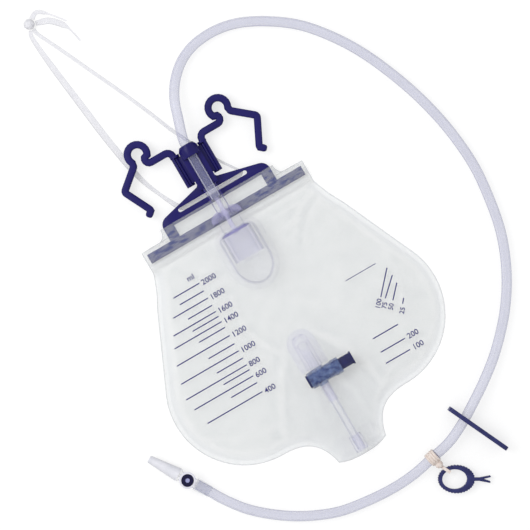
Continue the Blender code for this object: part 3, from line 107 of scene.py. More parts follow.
# Inlet tube and its fittings, as in the model
TUBE_DIAMETER, TUBE_BORE, TUBE_AXIS_Z = 9.2, 6.2, 13.8
TUBE_SIDES, TUBE_STEP = 28, 3.0
TUBE_SEAT_Y, SOCKET_MOUTH_Y, HOOD_TOP = 92.9, 104.9, 147.3
CONNECTOR = (-145.0, -121.5, 6.4)
CONNECTOR_TURN = math.radians(121.6)
SLEEVE_LENGTH = 14.0
SAMPLE_PORT_AT, SAMPLE_TOP = 9.2, 14.3
DIMPLE_RADIUS, DIMPLE_DEPTH = 2.0, 1.5
TUBE_ROUTE = (
    (0.8, 154.0, 13.6), (6.0, 170.5, 12.2), (12.0, 188.0, 9.5), (21.6, 203.0, 6.8),
    (36.0, 215.5, 5.2), (54.0, 222.4, 4.8), (76.0, 223.4, 4.7), (97.7, 218.3, 4.7),
    (121.0, 206.2, 4.7), (143.3, 189.3, 4.7), (161.9, 167.5, 4.7), (178.2, 141.8, 4.7),
    (192.0, 111.6, 4.7), (203.6, 78.1, 4.7), (211.5, 43.0, 4.7), (215.0, 7.0, 4.7),
    (213.2, -23.3, 4.7), (206.4, -61.0, 4.7), (193.0, -94.9, 4.7), (173.7, -125.3, 4.8),
    (148.6, -152.3, 5.4), (126.0, -170.2, 7.4), (105.0, -184.0, 8.8), (88.0, -194.3, 9.2),
    (70.0, -202.6, 8.4), (51.1, -207.0, 7.4), (30.0, -211.7, 5.6), (8.0, -213.4, 4.7),
    (-17.0, -212.0, 4.7), (-45.9, -207.3, 4.7), (-72.0, -196.8, 4.7), (-94.3, -183.1, 4.8),
    (-115.0, -165.5, 5.1), (-129.0, -147.8, 5.8),
)
CLAMP_NEAR = (92.5, -191.6)
CLAMP_GRIP, PINCHED = 7.2, 2.9

# Hanging tie, on the model's routes. Its widths are pairs: a distance from the tape's start and
# the width there. Columns are places across the tape, as shares of its width
TIE_REST = 1.45
TAPE_THICK, TAPE_STEP = 0.3, 2.0
TAPE_COLUMNS = (-0.5, -0.36, 0.0, 0.36, 0.5)
# Painted shade for each column across the tape: its two edges greyer, one more than the other
TAPE_EDGE_SHADES = (0.45, 0.0, 0.0, 0.0, 1.0)
LOOP_WIDTHS = (
    (0.0, 3.6), (40.0, 5.6), (90.0, 6.4), (150.0, 6.2), (172.0, 4.2), (190.0, 3.2),
    (208.0, 4.6), (270.0, 4.6), (282.0, 2.2), (310.0, 2.2), (340.0, 3.2), (600.0, 3.2),
)
TAIL_LEFT_WIDTHS = ((0.0, 4.6), (14.0, 3.4), (20.0, 1.4), (60.0, 1.1))
TAIL_RIGHT_WIDTHS = ((0.0, 4.0), (6.0, 5.8), (26.0, 5.6), (32.0, 1.6), (80.0, 1.1))
KNOT = (-67.1, 312.7)
KNOT_RADIUS, KNOT_GAP = 5.2, 0.3
LOOP_ROUTE = (
    (-71.1, 300.4), (-68.9, 272.1), (-63.6, 227.3), (-59.1, 190.3), (-53.9, 158.2),
    (-49.5, 138.5), (-42.0, 120.0), (-34.5, 105.0), (-29.0, 100.0), (-15.0, 99.2),
    (0.0, 99.0), (15.0, 99.2), (28.5, 100.0), (30.0, 104.0), (19.5, 120.0),
    (8.5, 141.0), (-3.9, 165.5), (-13.3, 188.7), (-26.6, 219.4), (-40.5, 249.3),
    (-54.3, 279.2), (-64.8, 301.0),
)
TAIL_LEFT = ((-59.0, 318.7), (-54.5, 318.7), (-47.0, 312.0), (-36.5, 299.0))
TAIL_RIGHT = ((-58.5, 310.0), (-49.5, 306.5), (-40.0, 296.0), (-36.5, 286.0), (-34.7, 277.2))


# Materials

ROUGH_SPREAD = 0.05
# Size of a face normal's up part where the painted shade of steep faces begins, and where it is
# full
WALL_FROM, WALL_FULL = 0.62, 0.12


def colour(hex_code):
    """Linear RGBA from an sRGB hex value."""
    channels = [int(hex_code[i:i + 2], 16) / 255 for i in (1, 3, 5)]
    return (*(c / 12.92 if c <= 0.04045 else ((c + 0.055) / 1.055) ** 2.4 for c in channels),
            1.0)


def add(tree, kind, links=None, values=None, **settings):
    """One node, with its settings, the numbers on its sockets and the sockets that feed it."""
    node = tree.nodes.new(kind)
    for name, value in settings.items():
        setattr(node, name, value)
    for name, value in (values or {}).items():
        node.inputs[name].default_value = value
    for name, source in (links or {}).items():
        tree.links.new(source, node.inputs[name])
    return node


def surface(name, pale, deep, patch, grain, depth, rough, contrast=1.0, **shader_values):
    """A plastic or rubber skin: two tones in soft patches, and a grain that breaks up its gloss.

    patch and grain are sizes in mm, depth is the grain's height in mm, and contrast sharpens the
    patches."""
    material = bpy.data.materials.new(name)
    material.use_nodes = True
    tree = material.node_tree
    shader = tree.nodes["Principled BSDF"]
    place = add(tree, "ShaderNodeTexCoord")
    patches = add(tree, "ShaderNodeTexNoise", {"Vector": place.outputs["Object"]},
                  {"Scale": 1 / (patch * MM), "Detail": 3.0, "Roughness": 0.55})
    share = add(tree, "ShaderNodeMapRange", {"Value": patches.outputs["Fac"]},
                {"From Min": 0.5 - 0.5 / contrast, "From Max": 0.5 + 0.5 / contrast})
    tone = add(tree, "ShaderNodeMix", {"Factor": share.outputs["Result"]}, data_type="RGBA")
    tone.inputs[6].default_value = colour(deep)
    tone.inputs[7].default_value = colour(pale)
    tree.links.new(tone.outputs[2], shader.inputs["Base Color"])
    sheen = add(tree, "ShaderNodeMapRange", {"Value": patches.outputs["Fac"]},
                {"To Min": rough - ROUGH_SPREAD, "To Max": rough + ROUGH_SPREAD})
    tree.links.new(sheen.outputs["Result"], shader.inputs["Roughness"])
    bumps = add(tree, "ShaderNodeTexNoise", {"Vector": place.outputs["Object"]},
                {"Scale": 1 / (grain * MM), "Detail": 2.0})
    relief = add(tree, "ShaderNodeBump", {"Height": bumps.outputs["Fac"]},
                 {"Distance": depth * MM, "Strength": 1.0})
    tree.links.new(relief.outputs["Normal"], shader.inputs["Normal"])
    for socket, value in shader_values.items():
        shader.inputs[socket.replace("_", " ")].default_value = value
    return material


def with_painted_wall_shade(material, edge):
    """Painted shade: steep faces in a deeper tone, chosen by their tilt, for the longer way light
    takes through them.
    """
    tree = material.node_tree
    shader = tree.nodes["Principled BSDF"]
    tone = shader.inputs["Base Color"].links[0].from_socket
    geometry = add(tree, "ShaderNodeNewGeometry")
    facing = add(tree, "ShaderNodeSeparateXYZ", {0: geometry.outputs["Normal"]})
    flat = add(tree, "ShaderNodeMath", {0: facing.outputs["Z"]}, operation="ABSOLUTE")
    steep = add(tree, "ShaderNodeMapRange", {"Value": flat.outputs[0]},
                {"From Min": WALL_FROM, "From Max": WALL_FULL, "To Min": 0.0, "To Max": 1.0},
                interpolation_type="SMOOTHSTEP")
    walls = add(tree, "ShaderNodeMix", {"Factor": steep.outputs["Result"], 6: tone},
                data_type="RGBA")
    walls.inputs[7].default_value = colour(edge)
    tree.links.new(walls.outputs[2], shader.inputs["Base Color"])
    return material


def with_marks(material, *marks):
    """Another tone wherever one of the mesh's own marks, from 0 to 1, is set."""
    tree = material.node_tree
    skin = tree.nodes["Principled BSDF"].inputs["Base Color"]
    tone = skin.links[0].from_socket
    for mark, shade in marks:
        where = add(tree, "ShaderNodeAttribute", attribute_name=mark)
        marked_tone = add(tree, "ShaderNodeMix", {"Factor": where.outputs["Fac"], 6: tone},
                          data_type="RGBA")
        marked_tone.inputs[7].default_value = colour(shade)
        tone = marked_tone.outputs[2]
    tree.links.new(tone, skin)
    return material


def moulded_navy_abs():
    """Injection-moulded ABS: deep navy, semi-gloss, with the fine grain of the mould."""
    return surface("moulded_navy_abs", "#201B68", "#171252", 26.0, 0.9, 0.02, 0.34,
                   IOR=1.53, Specular_IOR_Level=0.16)


def moulded_slate_polypropylene():
    """Clamp and clip: polypropylene of a greyer navy than the hanger, semi-matt."""
    return surface("moulded_slate_polypropylene", "#353972", "#22244F", 5.0, 0.8, 0.04, 0.40, 1.6,
                   IOR=1.49, Specular_IOR_Level=0.24)


def moulded_tap_plunger():
    """Plunger of the tap: nearly black navy, polished where it slides."""
    return surface("moulded_tap_plunger", "#1F2260", "#15173F", 6.0, 0.9, 0.02, 0.22,
                   IOR=1.53, Specular_IOR_Level=0.30)


def tinted_polycarbonate():
    """Clear blue polycarbonate tap body: the navy plunger shows through its wall."""
    return surface("tinted_polycarbonate", "#8299CC", "#223478", 3.4, 1.4, 0.03, 0.12, 2.6,
                   IOR=1.58, Alpha=0.46)


def tinted_wall_shade():
    """Steep walls of the tap body: a deeper copy of its tint, painted shade that makes them look
    deeper than its flanks.
    """
    return surface("tinted_polycarbonate_wall_shade", "#4C5A90", "#232C60", 3.0, 1.4, 0.03, 0.12, 2.0,
                   IOR=1.58, Alpha=0.55)


def violet_vinyl():
    """Soft PVC moulding with a breath of violet: glossy and see-through."""
    return surface("violet_vinyl", "#E2E0FF", "#C4C0F8", 4.0, 2.2, 0.03, 0.14, 2.2,
                   IOR=1.53, Alpha=0.06)


def violet_wall_shade():
    """Steep walls of the same mouldings: a deeper, less clear copy of the vinyl, painted shade for
    the longer way light takes through it.
    """
    return surface("violet_vinyl_wall_shade", "#8A83D2", "#5B53AA", 7.0, 2.2, 0.03, 0.14,
                   IOR=1.53, Alpha=0.45)


def violet_saddle():
    """Thick saddle of the inlet, which hides more of what lies under it."""
    return surface("violet_vinyl_saddle", "#E2E0FA", "#B2AEE2", 4.0, 2.2, 0.03, 0.14, 2.4,
                   IOR=1.53, Alpha=0.30)


def clear_vinyl():
    """Clear blister and tubing vinyl: hardly any colour, so that its gloss and its rims show."""
    return surface("clear_vinyl", "#F4F5FC", "#E4E6F4", 16.0, 2.0, 0.03, 0.12, 2.0,
                   IOR=1.53, Alpha=0.05)


def clear_wall_shade():
    """Steep walls and rims of the clear vinyl pieces: a deeper, less clear copy of the vinyl,
    painted shade.
    """
    return surface("clear_vinyl_wall_shade", "#AFADD8", "#9997CA", 16.0, 2.0, 0.03, 0.12,
                   IOR=1.53, Alpha=0.24)


def tube_vinyl():
    """Extruded PVC tube over its bore, clear with a breath of lavender."""
    return surface("tube_vinyl", "#B4B7DC", "#9EA1CA", 22.0, 6.0, 0.01, 0.18, 1.6,
                   IOR=1.53, Alpha=0.25)


def tube_wall():
    """The tube's own wall beside its bore: paler over dark things, partly from its thicker vinyl
    and partly as a painted highlight, and deepest at its edge by painted shade.
    """
    material = surface("tube_vinyl_wall", "#DEDFF0", "#CBCCE4", 22.0, 6.0, 0.01, 0.18,
                       IOR=1.53, Alpha=0.50)
    return with_painted_wall_shade(material, "#8E90BA")


def sleeve_vinyl():
    """Thicker vinyl of the sleeve over the tube's end."""
    return surface("sleeve_vinyl", "#C2C6DA", "#A4A9C2", 4.0, 2.0, 0.03, 0.16, 1.8,
                   IOR=1.53, Alpha=0.11)


def milky_polyethylene():
    """Low-density polyethylene cap: milky, waxy, with a broad soft highlight."""
    return surface("milky_polyethylene", "#F4F3FA", "#DDDFE8", 8.0, 1.2, 0.03, 0.42, 1.4,
                   IOR=1.51, Alpha=0.92)


def septum_dimple_highlight():
    """Thin centre of the septum, where a needle goes in: paler than the ring round it, a painted
    highlight in its dimple.
    """
    return surface("septum_dimple_highlight", "#B9BBE0", "#8488C0", 1.5, 0.7, 0.03, 0.35,
                   IOR=1.52)


def dark_septum_rubber():
    """Pierceable rubber of the sample port: matt, nearly black with a navy cast."""
    return surface("dark_septum_rubber", "#17163F", "#0D0C2C", 3.0, 0.7, 0.04, 0.55,
                   IOR=1.52, Specular_IOR_Level=0.15)


def natural_latex():
    """Rubber band: natural latex, matt and a little translucent, beige in its folds."""
    return surface("natural_latex", "#F8F0EB", "#D6C3B8", 2.6, 0.8, 0.10, 0.55, 1.8,
                   IOR=1.52)


def printing_ink():
    """Screen-printed vinyl ink: flat navy, slightly broken where the film is rough."""
    return surface("printing_ink", "#1A1674", "#120E5C", 1.5, 0.6, 0.01, 0.5,
                   IOR=1.5)


def milky_ring():
    """Ring round the sample port: vinyl with a white filler."""
    return surface("milky_vinyl", "#F6F5FE", "#E2E1F2", 3.0, 1.0, 0.03, 0.30,
                   IOR=1.53, Alpha=0.90)


def polythene_tape():
    """Thin milky tape of the hanging tie, greyer along its edges by painted shade, one edge more
    than the other.
    """
    material = surface("polythene_tape", "#E4E4EB", "#D0D0DB", 5.0, 0.9, 0.03, 0.45, 1.8,
                       IOR=1.50, Alpha=0.33)
    return with_marks(material, ("edge_shade", "#868694"))


def tied_tape():
    """The same tape where it is pulled into a knot, in many layers."""
    return surface("polythene_tape_knot", "#F8F8FC", "#D4D4DB", 2.2, 1.1, 0.30, 0.45, 1.8,
                   IOR=1.50, Alpha=0.85)


def valve_film():
    """Thin soft film of the anti-reflux valve, hardly to be seen inside the dome."""
    return surface("valve_film", "#ECEEF6", "#DEE0EE", 12.0, 1.6, 0.02, 0.25,
                   IOR=1.53, Alpha=0.035)


def calendered_film():
    """Frosted PVC film: grey-white and see-through, with paler welds and a grey rim.

    It is blue where it clings to the hanger, whitened with a painted highlight on its ridges and
    greyed with painted shade in its furrows."""
    material = surface("calendered_film", "#DADEDF", "#CFD4D5", 34.0, 1.6, 0.02, 0.28,
                       IOR=1.53, Alpha=0.16)
    return with_marks(material, ("weld", "#F0F3F5"), ("clings", "#5A72B8"), ("ridge_highlight_and_patches", "#FFFFFF"),
                      ("furrow_shade_and_spout_grey", "#98A0AC"), ("rim", "#8F969E"))


# Mesh helpers

# Mouldings eased from their solids: merging in mm, and angles in degrees
MERGE_WITHIN, FLAT_WITHIN = 0.002, 0.6
ROUND_OVER, ROUND_STEPS = 38.0, 3
SMOOTH_UNDER, TUBE_SMOOTH_UNDER = 32, 40


def deselect():
    bpy.ops.object.select_all(action="DESELECT")


def choose(item):
    deselect()
    item.select_set(True)
    bpy.context.view_layer.objects.active = item


def mesh_piece(name, points, faces, material, smooth=True):
    """Object with its place in its mesh, from points in mm."""
    mesh = bpy.data.meshes.new(name)
    mesh.from_pydata([tuple(c * MM for c in p) for p in points], [], faces)
    mesh.update()
    mesh.materials.append(material)
    if smooth:
        mesh.shade_smooth()
    item = bpy.data.objects.new(name, mesh)
    bpy.context.collection.objects.link(item)
    return item


def eased(name, node, material, width):
    """A moulding from its own solid, with its edges rounded as a mould leaves them."""
    source = frame["nodes"][node]
    item = bpy.data.objects.new(name, source.data.copy())
    bpy.context.collection.objects.link(item)
    item.data.materials.clear()
    item.data.materials.append(material)
    choose(item)
    bpy.ops.object.mode_set(mode="EDIT")
    bpy.ops.mesh.select_all(action="SELECT")
    bpy.ops.mesh.remove_doubles(threshold=MERGE_WITHIN * MM)
    bpy.ops.mesh.dissolve_limited(angle_limit=math.radians(FLAT_WITHIN))
    bpy.ops.object.mode_set(mode="OBJECT")
    round_edges = item.modifiers.new("round", "BEVEL")
    round_edges.limit_method = "ANGLE"
    round_edges.angle_limit = math.radians(ROUND_OVER)
    round_edges.width = width * MM
    round_edges.segments = ROUND_STEPS
    bpy.ops.object.modifier_apply(modifier="round")
    bpy.ops.object.shade_smooth_by_angle(angle=math.radians(SMOOTH_UNDER))
    deselect()
    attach(item, source["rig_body"])
    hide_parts(node)
    return item


# Lines that cords and tubes follow

def curve_through(points, per_span=12):
    """Catmull-Rom curve through points."""
    knots = [Vector(p) for p in points]
    knots = [2 * knots[0] - knots[1]] + knots + [2 * knots[-1] - knots[-2]]
    line = []
    for a, b, c, d in zip(knots, knots[1:], knots[2:], knots[3:]):
        for i in range(per_span):
            t = i / per_span
            line.append(0.5 * (2 * b + (c - a) * t + (2 * a - 5 * b + 4 * c - d) * t ** 2
                               + (3 * b - a - 3 * c + d) * t ** 3))
    line.append(knots[-2])
    return line


def evenly(line, step):
    """The same line at even steps."""
    lengths = [(b - a).length for a, b in zip(line, line[1:])]
    total = sum(lengths)
    count = max(2, round(total / step))
    points, run, mark = [line[0]], 0.0, 1
    for a, b, length in zip(line, line[1:], lengths):
        while mark < count and run + length >= total * mark / count:
            points.append(a.lerp(b, (total * mark / count - run) / length))
            mark += 1
        run += length
    return points + [line[-1]]


def distance_along(line, near):
    """Distance along a line, and the place there, where it passes closest to a spot near it."""
    best, run = None, 0.0
    for a, b in zip(line, line[1:]):
        step = (b - a).xy
        share = min(1.0, max(0.0, (Vector(near) - a.xy).dot(step) / max(step.dot(step), 1e-9)))
        place = a.lerp(b, share)
        gap = (place.xy - Vector(near)).length
        if best is None or gap < best[0]:
            best = (gap, run + (b - a).length * share, place)
        run += (b - a).length
    return best[1], best[2]


def marked(line, marks):
    """The line with a point at each of these distances along it, and those points' indices."""
    points, places, run = [line[0]], [], 0.0
    for a, b in zip(line, line[1:]):
        length = (b - a).length
        for mark in marks:
            if run < mark <= run + length:
                points.append(a.lerp(b, (mark - run) / length))
                places.append(len(points) - 1)
        points.append(b)
        run += length
    return points, places


def frames(line):
    """Place, level direction across and direction up at each point of a line."""
    for i, place in enumerate(line):
        along = (line[min(i + 1, len(line) - 1)] - line[max(i - 1, 0)]).normalized()
        across = along.cross(Vector((0.0, 0.0, 1.0))).normalized()
        yield place, across, across.cross(along)


def swept(name, line, outlines, material, smooth=True, part=slice(None)):
    """Strand along a line, or a part of it, from its outline at each point, in mm across and up."""
    points, faces = [], []
    count = len(outlines[0])
    stations = list(zip(frames(line), outlines))[part]
    for (place, across, up), outline in stations:
        points += [place + across * a + up * u for a, u in outline]
    for i in range(len(stations) - 1):
        for j in range(count):
            k = (j + 1) % count
            faces.append((i * count + j, i * count + k, (i + 1) * count + k, (i + 1) * count + j))
    last = (len(stations) - 1) * count
    faces += [tuple(reversed(range(count))), tuple(last + j for j in range(count))]
    return mesh_piece(name, points, faces, material, smooth)


def connector_point(along):
    """Place at a distance along the connector's axis from the tube's end."""
    x, y, z = CONNECTOR
    return Vector((x + along * math.cos(CONNECTOR_TURN), y + along * math.sin(CONNECTOR_TURN), z))


def tube_line():
    """Centre line of the inlet tube, from its seat in the socket to the connector."""
    seat = Vector((0.0, TUBE_SEAT_Y, TUBE_AXIS_Z))
    leaves = Vector((0.0, HOOD_TOP, TUBE_AXIS_Z))
    route = [leaves] + [Vector(p) for p in TUBE_ROUTE] + [connector_point(-SLEEVE_LENGTH)]
    return evenly([seat] + curve_through(route) + [connector_point(0.0)], TUBE_STEP)


def laid(route, returns=False):
    """Line on the ground that starts, and for a loop ends, at the knot's side."""
    centre = Vector((*KNOT, TIE_REST))
    points = [Vector((x, y, TIE_REST)) for x, y in route]
    reach = KNOT_RADIUS + KNOT_GAP
    points.insert(0, centre + (points[0] - centre).normalized() * reach)
    if returns:
        points.append(centre + (points[-1] - centre).normalized() * reach)
    return evenly(curve_through(points), TAPE_STEP)


# Film

SIDE_STEPS, LOBE_STEPS, NECK_STEPS = 46, 80, 36
FRONT_COLUMNS, BACK_COLUMNS = 190, 116
EDGE_PULL = 1.25
SPOUT_FADE, SPOUT_FLAT, SPOUT_BLEND = 14.0, 10.0, 8.0


def smoothstep(t):
    """Soft rise from 0 to 1."""
    t = np.clip(t, 0.0, 1.0)
    return t * t * (3 - 2 * t)


def lobe_point(degrees):
    """Place on the round lobe, from its angle."""
    turn = math.radians(degrees)
    return (LOBE_CENTRE[0] + LOBE_RADIUS * math.cos(turn),
            LOBE_CENTRE[1] + LOBE_RADIUS * math.sin(turn))


def edge_points():
    """Right-hand edge of the bag from the top of the tab down to the spout's corner."""
    points = [(TAB_HALF, TAB_TOP)]
    for turn in np.linspace(0.0, TAB_TURN, 14):
        points.append((TAB_HALF + TAB_CURVE * (1 - math.cos(turn)),
                       HEADER_TOP + TAB_CURVE * (1 - math.sin(turn)) + 0.1))
    points += [(HEADER_HALF, y) for y in np.linspace(HEADER_TOP, HEADER_FOOT, 24)]
    lobe = [lobe_point(LOBE_START - LOBE_SWEEP * i / LOBE_STEPS) for i in range(LOBE_STEPS + 1)]
    for i in range(1, SIDE_STEPS):
        t = i / SIDE_STEPS
        dent = SIDE_DENT * math.sin(math.pi * t / DENT_SHARE) if t < DENT_SHARE else 0.0
        points.append((HEADER_HALF + (lobe[0][0] - HEADER_HALF) * t - dent,
                       HEADER_FOOT + (lobe[0][1] - HEADER_FOOT) * t))
    points += lobe
    foot = lobe[-1][1]
    pulls = (lobe[-1], (NECK_START, foot), (NECK_END, foot - NECK_DROP), (SPOUT_HALF, SPOUT_FOOT))
    for i in range(1, NECK_STEPS + 1):
        t = i / NECK_STEPS
        weights = ((1 - t) ** 3, 3 * t * (1 - t) ** 2, 3 * t * t * (1 - t), t ** 3)
        points.append(tuple(sum(w * p[k] for w, p in zip(weights, pulls)) for k in (0, 1)))
    return points


def spout_bow(across):
    """How far the spout's round end reaches below its corners, from -1 to 1 across it."""
    return SPOUT_BOW * (1 - np.abs(across) ** SPOUT_ROUND)


def distance_to(x, y, line):
    """Shortest distance from each (x, y) to a line of points."""
    best = np.full(x.shape, 1e9)
    for (ax, ay), (bx, by) in zip(line, line[1:]):
        dx, dy = bx - ax, by - ay
        size = dx * dx + dy * dy
        share = np.clip(((x - ax) * dx + (y - ay) * dy) / max(size, 1e-9), 0, 1)
        best = np.minimum(best, (x - ax - share * dx) ** 2 + (y - ay - share * dy) ** 2)
    return np.sqrt(best)


# Creases of the emptied bag: height and half width, then the points that each follows
CREASES = (
    (0.9, 4.0, ((-5, -47), (-18, -60), (-32, -78), (-44, -98), (-54, -122))),
    (0.9, 4.0, ((5, -47), (15, -57), (24, -68), (34, -84), (42, -104), (46, -128))),
    (0.5, 2.4, ((83, 58), (70, 51), (58, 46), (48, 39))),
    (-0.5, 3.0, ((80, 50), (66, 44), (56, 36), (44, 20))),
    (0.5, 3.0, ((-33, 8), (-37, -8), (-36, -26), (-31, -42), (-22, -55), (-13, -60))),
    (-0.6, 4.0, ((-62, -120), (-50, -128), (-38, -138), (-28, -152))),
    (0.7, 3.0, ((25, -158), (30, -144), (40, -131), (56, -120), (76, -114), (98, -111))),
    (-0.5, 4.0, ((34, -152), (42, -140), (58, -129), (82, -122))),
    (0.5, 5.0, ((-118, -92), (-96, -104), (-74, -110), (-56, -112))),
    (0.4, 3.5, ((-88, 54), (-94, 34), (-104, 12), (-116, -10))),
    (0.4, 4.0, ((104, 8), (108, -18), (106, -46), (98, -72))),
    (-0.4, 4.5, ((-66, 58), (-58, 44), (-40, 34), (-27, 32))),
    (0.35, 2.2, ((34, 51), (60, 52))),
    (0.35, 2.2, ((33, 39), (56, 38))),
    (0.6, 3.0, ((14, -104), (20, -120), (20, -140), (16, -158))),
    (0.6, 3.0, ((-12, -104), (-17, -122), (-18, -142), (-14, -158))),
)
CREASE_RISE = 1.15
CREST_FREE, CREST_SHARE = 0.25, 0.5

# Soft swells of the film: height and size
SWELLS = ((1.0, 46.0), (0.45, 15.0))
BACK_SWELL, HEADER_SWELL = (0.5, 38.0), (0.35, 9.0)

# Places under the fittings where the film lies calm: centre, half width and half height
CALM = ((0.0, 32.0, 30.0, 38.0), (0.0, -66.0, 18.0, 26.0), (0.0, -160.0, 22.0, 14.0))

# Opening between the hanger's bar and the tab: half width, height of its middle, half height, depth
WINDOW_HALF, WINDOW_AT, WINDOW_REACH, WINDOW_DEPTH = 42.0, 85.0, 5.2, 1.6

# Film tones: painted fold highlight and shade, cut edge, weld's inner side, clouds, grey towards
# the spout
FOLD_REACH, FOLD_HEIGHT, FOLD_TONE = 12, 0.16, 0.36
RIM_WIDTH, RIM_FADE = 0.45, 0.7
INNER_TONE, INNER_WIDTH = 0.30, 0.8
CLOUD_TONE, CLOUD_SIZES = 0.30, (12.0, 5.0)
GREY_TONE, GREY_HALF, GREY_AT, GREY_REACH = 0.60, 48.0, -138.0, 40.0

# Where the film clings to the hanger: soft edge, least tone, streaks' tone and size
CLING_EDGE, CLING_LEAST, CLING_ADDED, CLING_SIZE = 0.8, 0.15, 0.62, 4.0

# Seams of the header: height, half width and tone
SEAMS = ((66.2, 0.5, 0.7), (70.9, 0.4, 0.4))


def back_level(y):
    """Mid-height of the back film, which the hanger's bar lifts at the header."""
    return BACK_LOW + (BACK_LIFTED - BACK_LOW) * smoothstep((y - HEADER_FOOT) / LIFT_REACH)


def front_level(x, y, border):
    """Mid-height of the front film and how firmly it is welded, at a distance from its border."""
    header = y > HEADER_FOOT
    weld = np.where(header, HEADER_WELD, WELD)
    slope = np.where(header, HEADER_SLOPE, WELD_SLOPE)
    spout = smoothstep((y - SPOUT_FOOT) / SPOUT_FADE)
    weld = weld * (SPOUT_WELD + (1 - SPOUT_WELD) * spout)
    slope = slope * (SPOUT_SLOPE + (1 - SPOUT_SLOPE) * spout)
    stand = smoothstep((border - weld) / slope) * smoothstep((y - SPOUT_FOOT) / SPOUT_FLAT)
    bag = FRONT_LOW + (FRONT_HIGH - FRONT_LOW) * stand
    ripple = np.zeros(x.shape)
    for height, width, line in CREASES:
        ripple += CREASE_RISE * height * np.exp(-(distance_to(x, y, list(line)) / width) ** 2)
    ripple += sum(height * waves(x, y, size) for height, size in SWELLS)
    calm = np.ones(x.shape)
    for cx, cy, wide, tall in CALM:
        calm *= 1 - np.exp(-((((x - cx) / wide) ** 4) + (((y - cy) / tall) ** 4)))
    crests = CREST_FREE + CREST_SHARE * np.abs(ripple)
    bag = bag + np.minimum(ripple, crests) * stand * calm
    lift = smoothstep((y - HEADER_FOOT) / LIFT_REACH)
    over = smoothstep((y - CROSS_WELD[1]) / FREE_REACH)
    pressed = smoothstep((y - HEADER_FOOT) / PRESS_REACH) * (1 - over)
    window = np.exp(-(((x / WINDOW_HALF) ** 6) + (((y - WINDOW_AT) / WINDOW_REACH) ** 4)))
    height, size = HEADER_SWELL
    raised = HEADER_HIGH - WINDOW_DEPTH * window + height * waves(x, y, size) * (1 - window)
    top = BACK_LIFTED + PRESSED_GAP + (raised - BACK_LIFTED - PRESSED_GAP) * stand
    bag = bag * (1 - lift) + lift * top
    bag = bag * (1 - pressed) + pressed * (back_level(y) + PRESSED_GAP)
    cross = np.exp(-((y - sum(CROSS_WELD) / 2) / CROSS_HALF) ** 4)
    firm = np.clip(1 - stand, 0, 1)
    return bag, np.maximum(firm, cross * CROSS_FIRM)


def waves(x, y, size):
    """Soft, uneven swell of the film, between about -1 and 1."""
    flat = [noise.noise(Vector((a / size, b / size, 3.7))) for a, b in zip(x.ravel(), y.ravel())]
    return np.array(flat).reshape(x.shape)


def film_grid(edge, columns):
    """Rows of places across the bag, one for each point of its edge, closer near its sides."""
    half = np.array(edge)
    across = np.linspace(-1, 1, columns)
    across = np.sign(across) * (1 - (1 - np.abs(across)) ** EDGE_PULL)
    x = half[:, :1] * across[None, :]
    y = np.repeat(half[:, 1:], columns, axis=1)
    at_spout = smoothstep((SPOUT_FOOT + SPOUT_BLEND - y) / SPOUT_BLEND)
    return x, y - spout_bow(across[None, :]) * at_spout


def fold_highlight_and_shade(z):
    """Painted highlight on the ridges and painted shade in the furrows of a grid of heights, both
    from 0 to 1.
    """
    soft = z
    for _ in range(FOLD_REACH):
        wide = np.pad(soft, 1, mode="edge")
        soft = (wide[:-2, 1:-1] + wide[2:, 1:-1] + wide[1:-1, :-2] + wide[1:-1, 2:] + 4 * soft) / 8
    bend = FOLD_TONE * np.clip((z - soft) / FOLD_HEIGHT, -1.0, 1.0)
    return np.maximum(bend, 0.0), np.maximum(-bend, 0.0)


def rims(y, border):
    """Thin grey lines: the cut edge, the inner side of the weld and the seams of the header."""
    rim = 1 - smoothstep((border - RIM_WIDTH) / RIM_FADE)
    inner = INNER_TONE * np.exp(-(((border - WELD) / INNER_WIDTH) ** 2)) * (y < HEADER_FOOT)
    seams = sum(tone * np.exp(-(((y - at) / wide) ** 2)) for at, wide, tone in SEAMS)
    return np.clip(rim + inner + seams, 0.0, 1.0)


def clinging(x, y):
    """Where the front film lies on the hanger, and the slanting streaks where it clings to it."""
    bar = (smoothstep((BAR_HALF - np.abs(x)) / 1.5)
           * smoothstep((BAR_REACH - np.abs(y - BAR_AT)) / CLING_EDGE))
    legs = (smoothstep((LEG_HALF - np.abs(np.abs(x) - LEG_AT)) / CLING_EDGE)
            * (y > BAR_AT) * smoothstep((LEG_TOP - y) / 2.0))
    slanting = waves(x * 0.5 + y * 0.9, y * 1.9 - x * 0.3, CLING_SIZE)
    over = np.maximum(bar, legs)
    return over, over * (CLING_LEAST + CLING_ADDED * smoothstep((slanting + 0.15) / 0.5))


def cloudy(x, y):
    """Paler patches over the film at random, and the greyer part towards the spout."""
    wide, fine = (waves(x, y, size) for size in CLOUD_SIZES)
    patches = np.clip(wide + 0.4 * fine, 0.0, 1.0) * (y < HEADER_FOOT)
    grey = np.exp(-((x / GREY_HALF) ** 2 + ((y - GREY_AT) / GREY_REACH) ** 2))
    return CLOUD_TONE * patches, GREY_TONE * grey


def film_piece(name, node, x, y, z, marks, material):
    """Sheet of film with its true thickness, and with marks from 0 to 1 for the material."""
    rows, columns = x.shape
    points = np.stack([x, y, z], axis=-1).reshape(-1, 3)
    corners = [i * columns + j for i in range(rows - 1) for j in range(columns - 1)]
    faces = [(k, k + columns, k + columns + 1, k + 1) for k in corners]
    item = mesh_piece(name, points, faces, material)
    for mark, values in marks.items():
        attribute = item.data.attributes.new(mark, "FLOAT", "POINT")
        attribute.data.foreach_set("value", values.ravel().astype(np.float32))
    choose(item)
    wall = item.modifiers.new("wall", "SOLIDIFY")
    wall.thickness = FILM * MM
    wall.offset = 0.0
    bpy.ops.object.modifier_apply(modifier="wall")
    deselect()
    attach(item, "bag")
    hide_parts(node)
    return item


